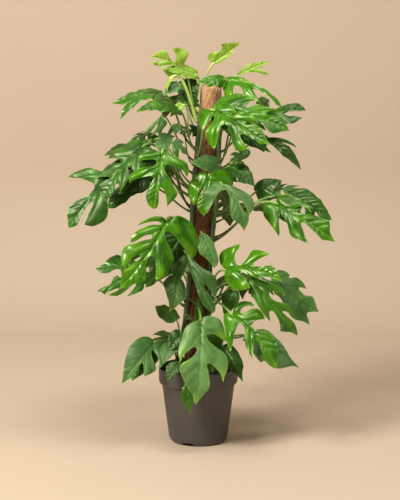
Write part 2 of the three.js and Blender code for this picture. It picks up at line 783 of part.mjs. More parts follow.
// A blade as a closed sheet. Both faces use the same triangles.
function bladeSolid(leaf, thickness) {
  const axes = bladeAxes(leaf);
  const ribs = BLADE.ribPoints;
  const points = [[0, 0]];
  for (let i = 1; i <= ribs; i++) points.push([i / (ribs + 1), 0]);
  points.push([1, 0]);
  const triangles = [];
  for (const [half, sign] of [[leaf.right, 1], [leaf.left, -1]]) {
    const outline = sideOutline(half).map(([s, t]) => [s, sign * t]);
    const first = points.length;
    points.push(...outline);
    const ring = [0, ...outline.map((_, i) => first + i)];
    for (let i = ribs + 1; i > 0; i--) ring.push(i);
    const contour = ring.map((i) => new THREE.Vector2(...points[i]));
    for (const corners of THREE.ShapeUtils.triangulateShape(contour, [])) {
      const [a, b, c] = corners.map((i) => ring[i]);
      const [p, q, r] = [points[a], points[b], points[c]];
      const area = (q[0] - p[0]) * (r[1] - p[1]) - (r[0] - p[0]) * (q[1] - p[1]);
      triangles.push(area < 0 ? [a, b, c] : [a, c, b]);
    }
  }
  const count = points.length;
  const upper = [];
  const lower = [];
  for (const [s, t] of points) {
    const { place, rise } = bladePoint(leaf, axes, s, t);
    upper.push(place.clone().addScaledVector(rise, thickness / 2));
    lower.push(place.clone().addScaledVector(rise, -thickness / 2));
  }
  const index = [];
  const edges = new Set();
  for (const [a, b, c] of triangles) {
    index.push(a, b, c, a + count, c + count, b + count);
    for (const edge of [[a, b], [b, c], [c, a]]) edges.add(edge.join());
  }
  for (const edge of edges) {
    const [a, b] = edge.split(",").map(Number);
    if (edges.has([b, a].join())) continue;
    index.push(a, a + count, b + count, a, b + count, b);
  }
  const geometry = new THREE.BufferGeometry().setFromPoints([...upper, ...lower]);
  geometry.setIndex(index);
  return solidOf(geometry);
}

const petioleRadius = (leaf) => mix(1.3, 2.3, Math.min(1, bladeAxes(leaf).length / 180));

// A petiole leaves its vine, rises, and runs into the blade along its midrib. Its end stands off far
// enough for its tilted rim to clear the stem.
function petiolePath(leaf) {
  const [name, height] = leaf.vine;
  const vine = VINES[name];
  const point = vineAt(vine, height);
  const along = vineRun(vine, height);
  const axes = bladeAxes(leaf);
  const base = vec(leaf.base);
  const out = base.clone().sub(point);
  out.addScaledVector(along, -out.dot(along)).normalize();
  const reach = point.distanceTo(base);
  const rise = 0.22 * Math.max(0, base.z - point.z);
  const tilt = Math.atan2(rise, 0.3 * reach);
  const standOff = vine.radius + GAP + 0.85 * petioleRadius(leaf) * Math.sin(tilt);
  const start = point.clone().addScaledVector(out, standOff);
  const into = axes.ahead.clone().addScaledVector(axes.up, 4 * leaf.bow).normalize();
  const leave = start.clone().addScaledVector(out, 0.3 * reach).addScaledVector(along, rise);
  const arrive = base.clone().addScaledVector(into, -0.3 * reach);
  const end = base.clone().addScaledVector(into, PETIOLE.sunk);
  return new THREE.CubicBezierCurve3(start, leave, arrive, end);
}

function petioleSolid(leaf, grow) {
  const radius = petioleRadius(leaf) + grow;
  return tube(petiolePath(leaf), radius, PETIOLE.sides, PETIOLE.steps);
}

// ---- The whole plant -------------------------------------------------------------------------

const plant = new THREE.Group();
const laid = [];

function lay(name, solid, colour, roughness) {
  plant.add(named(name, solid, colour, roughness));
  laid.push(solid);
}

const stakeHole = stakeSolid(GAP);
const coir = coirSolid(0).subtract(stakeHole);
lay("pot", makePot(), COLOURS.pot, 0.6);
lay("stake", stakeSolid(0), COLOURS.stake, 0.8);
lay("coir_pole", coir, COLOURS.coir, 1);
const holes = [stakeHole, coirSolid(GAP)];
for (const [name, vine] of Object.entries(VINES)) {
  lay("vine_" + name, vineTube(vine, 0), COLOURS.vine, 0.6);
  holes.push(vineTube(vine, GAP));
}
lay("soil", makeSoil(holes), COLOURS.soil, 1);

for (const [name, leaf] of Object.entries(LEAVES)) {
  const solid = bladeSolid(leaf, BLADE.thickness).add(petioleSolid(leaf, 0));
  lay("leaf_" + name, solid, COLOURS[leaf.tone], 0.35);
}

export default plant;
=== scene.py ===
# %% [markdown]
# # A mini monstera on its coir pole
# This lesson dresses a climbing Rhaphidophora tetrasperma: a nursery pot, a pole wrapped in coir, four
# climbing stems and split leaves. The CAD solids are loaded first as a fixed frame, in metres, and
# every piece made here rides on that frame or takes the place of one of its solids.

# %% Load the frame
import math

import bpy
import numpy as np
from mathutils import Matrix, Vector
from mathutils.geometry import delaunay_2d_cdt


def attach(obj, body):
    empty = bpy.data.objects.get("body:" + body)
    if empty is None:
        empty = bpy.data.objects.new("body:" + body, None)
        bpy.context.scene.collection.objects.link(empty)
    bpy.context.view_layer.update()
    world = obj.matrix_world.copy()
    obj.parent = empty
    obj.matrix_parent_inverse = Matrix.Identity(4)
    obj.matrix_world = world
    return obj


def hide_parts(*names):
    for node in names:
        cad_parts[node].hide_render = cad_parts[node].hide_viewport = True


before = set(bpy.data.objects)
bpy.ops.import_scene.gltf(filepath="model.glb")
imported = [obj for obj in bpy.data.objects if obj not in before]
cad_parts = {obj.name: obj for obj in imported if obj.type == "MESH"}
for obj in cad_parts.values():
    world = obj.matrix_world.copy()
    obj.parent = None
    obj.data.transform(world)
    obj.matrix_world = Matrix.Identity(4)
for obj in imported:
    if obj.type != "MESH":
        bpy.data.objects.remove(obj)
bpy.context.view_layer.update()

MM = 0.001  # the tables below are in millimetres, and Blender works in metres
FULL_TURN = 2 * math.pi

# %% [markdown]
# The camera stands 3.5 m in front of the plant and a metre up, and looks slightly down at it. A short
# lens close by would swell the front leaves, and a long one keeps the proportions of pot and leaves.
# It comes first, so that every later piece can be judged from the same place.

# %% Camera
CAMERA_PLACE, CAMERA_DIP = (0.00408, -3.5, 1.0), 8.755  # in metres, and in degrees below level


def put(name, data, place=(0, 0, 0)):
    thing = bpy.data.objects.new(name, data)
    thing.location = place
    bpy.context.scene.collection.objects.link(thing)
    return thing


camera = put("camera", bpy.data.cameras.new("camera"), CAMERA_PLACE)
camera.data.lens, camera.data.sensor_width = 108, 36
camera.rotation_euler = (math.radians(90 - CAMERA_DIP), 0, 0)
bpy.context.scene.camera = camera
print("camera lens", camera.data.lens, "mm")

# %% [markdown]
# Shader and geometry maths reads best as plain arithmetic. `Wire` stands for one socket of a node
# tree, and its operators add the Math nodes. `Bench` is the tree itself, with one method that adds any
# other node: its kind, its settings, then the values or wires of its sockets. Writing each node by
# hand would also work, but a formula such as `1 - mask * 0.4` would take a dozen lines.

# %% Node helpers
class Wire:
    def __init__(self, bench, socket):
        self.bench, self.socket = bench, socket

    def maths(self, operation, *values):
        settings = {"operation": operation}
        return self.bench.node("ShaderNodeMath", settings, dict(enumerate(values)))

    def __add__(self, other):
        return self.maths("ADD", self, other)

    def __sub__(self, other):
        return self.maths("SUBTRACT", self, other)

    def __rsub__(self, other):
        return self.maths("SUBTRACT", other, self)

    def __mul__(self, other):
        return self.maths("MULTIPLY", self, other)

    __radd__, __rmul__ = __add__, __mul__


class Bench:
    def __init__(self, tree, material=None):
        self.tree, self.material = tree, material

    def node(self, kind, settings=None, sockets=None, out=0):
        node = self.tree.nodes.new(kind)
        for name, value in (settings or {}).items():
            if name == "stops":
                self.set_stops(node.color_ramp, value)
            else:
                setattr(node, name, value)
        for key, value in (sockets or {}).items():
            socket = self.find(node.inputs, key)
            if isinstance(value, Wire):
                self.tree.links.new(value.socket, socket)
            else:
                socket.default_value = value
        return Wire(self, self.find(node.outputs, out)) if len(node.outputs) else node

    def find(self, sockets, key):
        """A socket by its place, or the first one in use by its name."""
        if isinstance(key, int):
            return sockets[key]
        return next(socket for socket in sockets if socket.enabled and socket.name == key)

    def set_stops(self, ramp, stops):
        while len(ramp.elements) < len(stops):
            ramp.elements.new(1)
        for element, (place, colour) in zip(ramp.elements, stops):
            element.position, element.color = place, colour

    def attribute(self, name):
        return self.node("ShaderNodeAttribute", {"attribute_name": name}, out="Fac")

    def ease(self, value, start, end, low=0.0, high=1.0):
        limits = {"Value": value, "From Min": start, "From Max": end, "To Min": low, "To Max": high}
        return self.node("ShaderNodeMapRange", {"interpolation_type": "SMOOTHSTEP"}, limits)

    def blend(self, factor, one, other):
        ends = {"Factor": factor, "A": one, "B": other}
        return self.node("ShaderNodeMix", {"data_type": "RGBA"}, ends, out="Result")

    def noise(self, scale, detail=3.0):
        sockets = {"Scale": scale, "Detail": detail, "Roughness": 0.55, "Vector": self.place()}
        return self.node("ShaderNodeTexNoise", None, sockets)

    def place(self, **mapping):
        """The point on the object, which a Mapping node can shift or stretch."""
        here = self.node("ShaderNodeTexCoord", out="Object")
        return self.node("ShaderNodeMapping", None, {"Vector": here, **mapping}) if mapping else here

    def streaks(self, x, y, z, detail=2.0):
        sockets = {"Vector": self.place(Scale=(x, y, z)), "Scale": 1.0, "Detail": detail}
        return self.node("ShaderNodeTexNoise", None, sockets)

    def bump(self, height, strength, distance):
        sockets = {"Height": height, "Strength": strength, "Distance": distance}
        return self.node("ShaderNodeBump", None, sockets)

    def surface(self, colour, roughness, normal, **steady):
        """The shader from the wires of its varying inputs and the numbers of its steady ones."""
        sockets = {"Base Color": colour, "Roughness": roughness, "Normal": normal}
        sockets |= {key.replace("_", " "): value for key, value in steady.items()}
        return self.node("ShaderNodeBsdfPrincipled", None, sockets)

    def end(self, shader):
        self.node("ShaderNodeOutputMaterial", None, {"Surface": shader})
        return self.material


def start_material(name):
    material = bpy.data.materials.new(name)
    material.use_nodes = True
    material.node_tree.nodes.clear()
    return Bench(material.node_tree, material)


def tint(*rgb):
    """A colour of 0 to 255 as Blender's linear light."""
    linear = (((c / 255 + 0.055) / 1.055) ** 2.4 if c > 10 else c / 3295 for c in rgb)
    return (*linear, 1)


print("helpers ready")

# %% [markdown]
# The room is a plain sweep: a pale floor that curves up into a wall of the same warm beige. One mesh
# does both, so that no line shows where they meet. The wall is clear from behind, so that the plant
# can be seen from every side. The room is stage, not part of the plant.

# %% Floor and wall
HALF_WIDTH, DEPTH, HEIGHT, BEND, BEND_STEPS = 6.0, 1.7, 4.5, 0.5, 16  # of the sweep, in metres
BEHIND = [(-6, 0.8, -0.001), (6, 0.8, -0.001), (6, 6, -0.001), (-6, 6, -0.001)]


def sweep_profile():
    points = [(-HALF_WIDTH, 0.0), (DEPTH - BEND, 0.0)]
    for turn in math.pi / 2 * np.arange(1, BEND_STEPS + 1) / BEND_STEPS:
        points.append((DEPTH - BEND + BEND * math.sin(turn), BEND - BEND * math.cos(turn)))
    return points + [(DEPTH, HEIGHT)]


def plaster_finish():
    bench = start_material("warm_plaster")
    tone = bench.blend(bench.noise(1.3, 4.0), tint(195, 176, 153), tint(186, 166, 142))
    plaster = bench.surface(tone, 0.85, bench.bump(bench.noise(60.0, 5.0), 0.05, 0.002))
    clear = bench.node("ShaderNodeBsdfTransparent")
    behind = bench.node("ShaderNodeNewGeometry", out="Backfacing")
    return bench.end(bench.node("ShaderNodeMixShader", None, {0: behind, 1: plaster, 2: clear}))


def make_stage():
    corners = [(x, y, z) for y, z in sweep_profile() for x in (-HALF_WIDTH, HALF_WIDTH)]
    faces = [(i, i + 1, i + 3, i + 2) for i in range(0, len(corners) - 2, 2)]
    faces.append(tuple(range(len(corners), len(corners) + 4)))
    mesh = bpy.data.meshes.new("room")
    mesh.from_pydata(corners + BEHIND, [], faces)
    mesh.shade_smooth()
    mesh.materials.append(plaster_finish())
    put("room", mesh)
    return mesh


print("stage faces:", len(make_stage().polygons))

# %% [markdown]
# The light is soft and comes from the upper left, as from a tall window, with a lamp above and a
# weaker fill from the right. Large area lamps give the glossy leaves their broad pale reflections.
# A sky image would light them too, but a few lamps are easier to aim.

# %% Lamps
def add_lamp(name, place, target, size, watts, colour):
    lamp = bpy.data.lights.new(name, "AREA")
    lamp.shape = "RECTANGLE"
    lamp.size, lamp.size_y = size
    lamp.energy, lamp.color = watts, colour
    aim = Vector(target) - Vector(place)
    put(name, lamp, place).rotation_euler = aim.to_track_quat("-Z", "Y").to_euler()


add_lamp("key", (-2.0, -2.2, 2.9), (0, 0, 0.5), (1.1, 1.1), 195, (1.0, 0.97, 0.92))
add_lamp("top", (0.5, -0.9, 3.0), (0, 0, 0.6), (1.2, 0.8), 50, (1.0, 0.98, 0.95))
add_lamp("fill", (2.8, -2.6, 1.3), (0, 0, 0.5), (1.8, 2.4), 12, (1.0, 0.96, 0.9))
world = bpy.data.worlds.new("soft_room")
world.use_nodes = True
world.node_tree.nodes["Background"].inputs["Color"].default_value = (1.0, 0.93, 0.84, 1)
world.node_tree.nodes["Background"].inputs["Strength"].default_value = 0.2
bpy.context.scene.world = world
bpy.context.scene.view_settings.view_transform = "Standard"

# %% [markdown]
# The pole leans to the right, and four stems climb it. Each stem is a rule of height: between the
# rows of its table the angle round the pole and the distance from it ease over to the next row. Curves
# drawn by hand would climb too, but a rule can be asked for the stem at any height. The same rule gave
# the CAD solids, so a leaf stalk that starts on a stem here starts on the solid too.

# %% Pole and stems as rules
GAP = 0.3  # between a stalk and its stem
POLE_FOOT, POLE_TOP, POLE_RADIUS = np.array([-22, 4, 14.0]), np.array([31, 4, 843.0]), 23.0
POLE_AXIS = (POLE_TOP - POLE_FOOT) / np.linalg.norm(POLE_TOP - POLE_FOOT)

# each stem: its radius, then rows of height, angle round the pole (270 is the front), distance
STEMS = {
    "a": (5.5, [(100, 205, 52), (170, 208, 48), (240, 212, 40), (300, 215, 33), (400, 222, 31),
                (500, 214, 31), (600, 205, 31), (700, 218, 31), (800, 228, 30.5)]),
    "b": (6.0, [(100, 315, 56), (170, 318, 52), (240, 322, 42), (310, 325, 34), (420, 318, 32),
                (520, 322, 32), (620, 334, 32), (720, 326, 31), (815, 318, 31)]),
    "c": (4.5, [(100, 140, 50), (170, 142, 46), (240, 146, 36), (320, 150, 31), (450, 146, 30),
                (580, 154, 30), (700, 148, 30), (790, 140, 30)]),
    "d": (4.5, [(100, 40, 50), (170, 38, 46), (240, 36, 36), (320, 34, 31), (450, 38, 30),
                (580, 32, 30), (700, 38, 30), (780, 44, 30)]),
}


def mix(one, other, share):
    return one + (other - one) * share


def unit(vector):
    return vector / np.linalg.norm(vector)


def round_z(turn):
    """The level direction at a turn about the vertical."""
    return np.array([math.cos(turn), math.sin(turn), 0])


def pole_at(z):
    return POLE_FOOT + POLE_AXIS * (z - POLE_FOOT[2]) / POLE_AXIS[2]


def stem_at(name, z):
    rows = STEMS[name][1]
    low, high = next(pair for pair in zip(rows, rows[1:]) if z <= pair[1][0] or pair[1] is rows[-1])
    share = min(max((z - low[0]) / (high[0] - low[0]), 0), 1)
    share = share * share * (3 - 2 * share)
    return pole_at(z) + mix(low[2], high[2], share) * round_z(math.radians(mix(low[1], high[1], share)))


def stem_run(name, z):
    return unit(stem_at(name, z + 1) - stem_at(name, z - 1))


print("stem a at 400 mm:", stem_at("a", 400).round(1))

# %% [markdown]
# A leaf is one row of a table, and its edge is drawn as two sides. A drawn side lists points from base
# to tip: along the midrib, then across it, in hundredths of its length; "!" marks a sharp tip. The large
# leaves in front are drawn one by one, because no two are slit alike. The others share two rules, a
# whole side and a side with even lobes.

# %% Sides of a leaf
def whole(end):
    rows = [(-0.05, 0.45), (-0.02, 0.85), (0.18, 1.2), (0.42, 1.15), (0.68, 0.75), (0.88, 0.28)]
    return [(s, t * end, 0) for s, t in rows]


def lobed(count, reach, end=0.12):
    """A side with even lobes that widen outwards; each tip points ahead."""
    count = int(count)
    arches = [np.array([0.09 + 0.56 * (i + 1) / count, 0.075]) for i in range(count)]
    tips = [np.array([arch[0] + 0.06 + 0.05 * i, reach * (1 - 0.17 * i)]) for i, arch in enumerate(arches)]
    rows = [(-0.03, 0.05, 0), (-0.07, 0.5 * reach, 0), (0.02, 0.9 * reach, 0), (0.6 * tips[0][0], reach, 0)]
    for i, (arch, tip) in enumerate(zip(arches, tips)):
        out = tip - arch
        ahead = np.array([out[1], -out[0]]) / np.hypot(*out)
        wide = min(1.0, (end + 0.03 if i + 1 == count else tips[i + 1][1] + 0.05) / tip[1])
        rows.append((*tip, 1))
        # down the back of the lobe, round the arch of the slit and out along the next lobe
        for share, aside in ((0.6, -0.03), (0.1, -0.025), (-0.1, 0), (0.1, 0.025), (0.55 * wide, 0.05),
                             (0.9 * wide, 0.09)):
            rows.append((*(arch + share * out + aside * ahead), 0))
    foot = arches[-1][0]
    return rows + [(mix(foot, 1, 0.55), 0.85 * end, 0), (mix(foot, 1, 0.85), 0.35 * end, 0)]


SIDE_RULES = {"whole": whole, "lobed": lobed}


def read_side(text):
    """Rows of s, t and 1 where the edge is sharp, by a rule or as drawn."""
    first, *more = text.split()
    if first in SIDE_RULES:
        return SIDE_RULES[first](*map(float, more))
    marks = [(mark.rstrip("!").split(","), "!" in mark) for mark in (first, *more)]
    return [(int(s) / 100, int(t) / 100, int(sharp)) for (s, t), sharp in marks]


def read_leaves(text):
    leaves = {}
    for row in text.split(";")[:-1]:
        start, base, tip, face, looks, *sides = row.split("/")
        name, stem, height = start.split()
        bow, droop, tone, *more = looks.split()
        leaf = dict(stem=stem, height=int(height), bow=float(bow), droop=float(droop), tone=tone)
        for key, value in (word.split("=") for word in more):
            leaf[key] = value if value.isalpha() else float(value)
        for key, value in (("base", base), ("tip", tip), ("face", face)):
            leaf[key] = np.array(value.split(), float)
        leaf["right"], leaf["left"] = read_side(sides[0]), read_side(sides[-1])
        leaves[name] = leaf
    return leaves


print("points of a lobed side:", len(lobed(2, 0.35)))

# %% [markdown]
# The parts of a row are: the name, the stem and the height at which the stalk leaves it; the base of
# the blade; its tip; the way the upper face looks; how far the midrib arches, how much the sides droop,
# and the tone. Some leaves add how far the midrib sways aside, an age from 0 to 1, the radius or the
# rise of the stalk, or the finish of another tone. Then come the right and the left side, or one side
# for both. Each leaf could be a block of settings, but a row shows its whole shape at a glance.

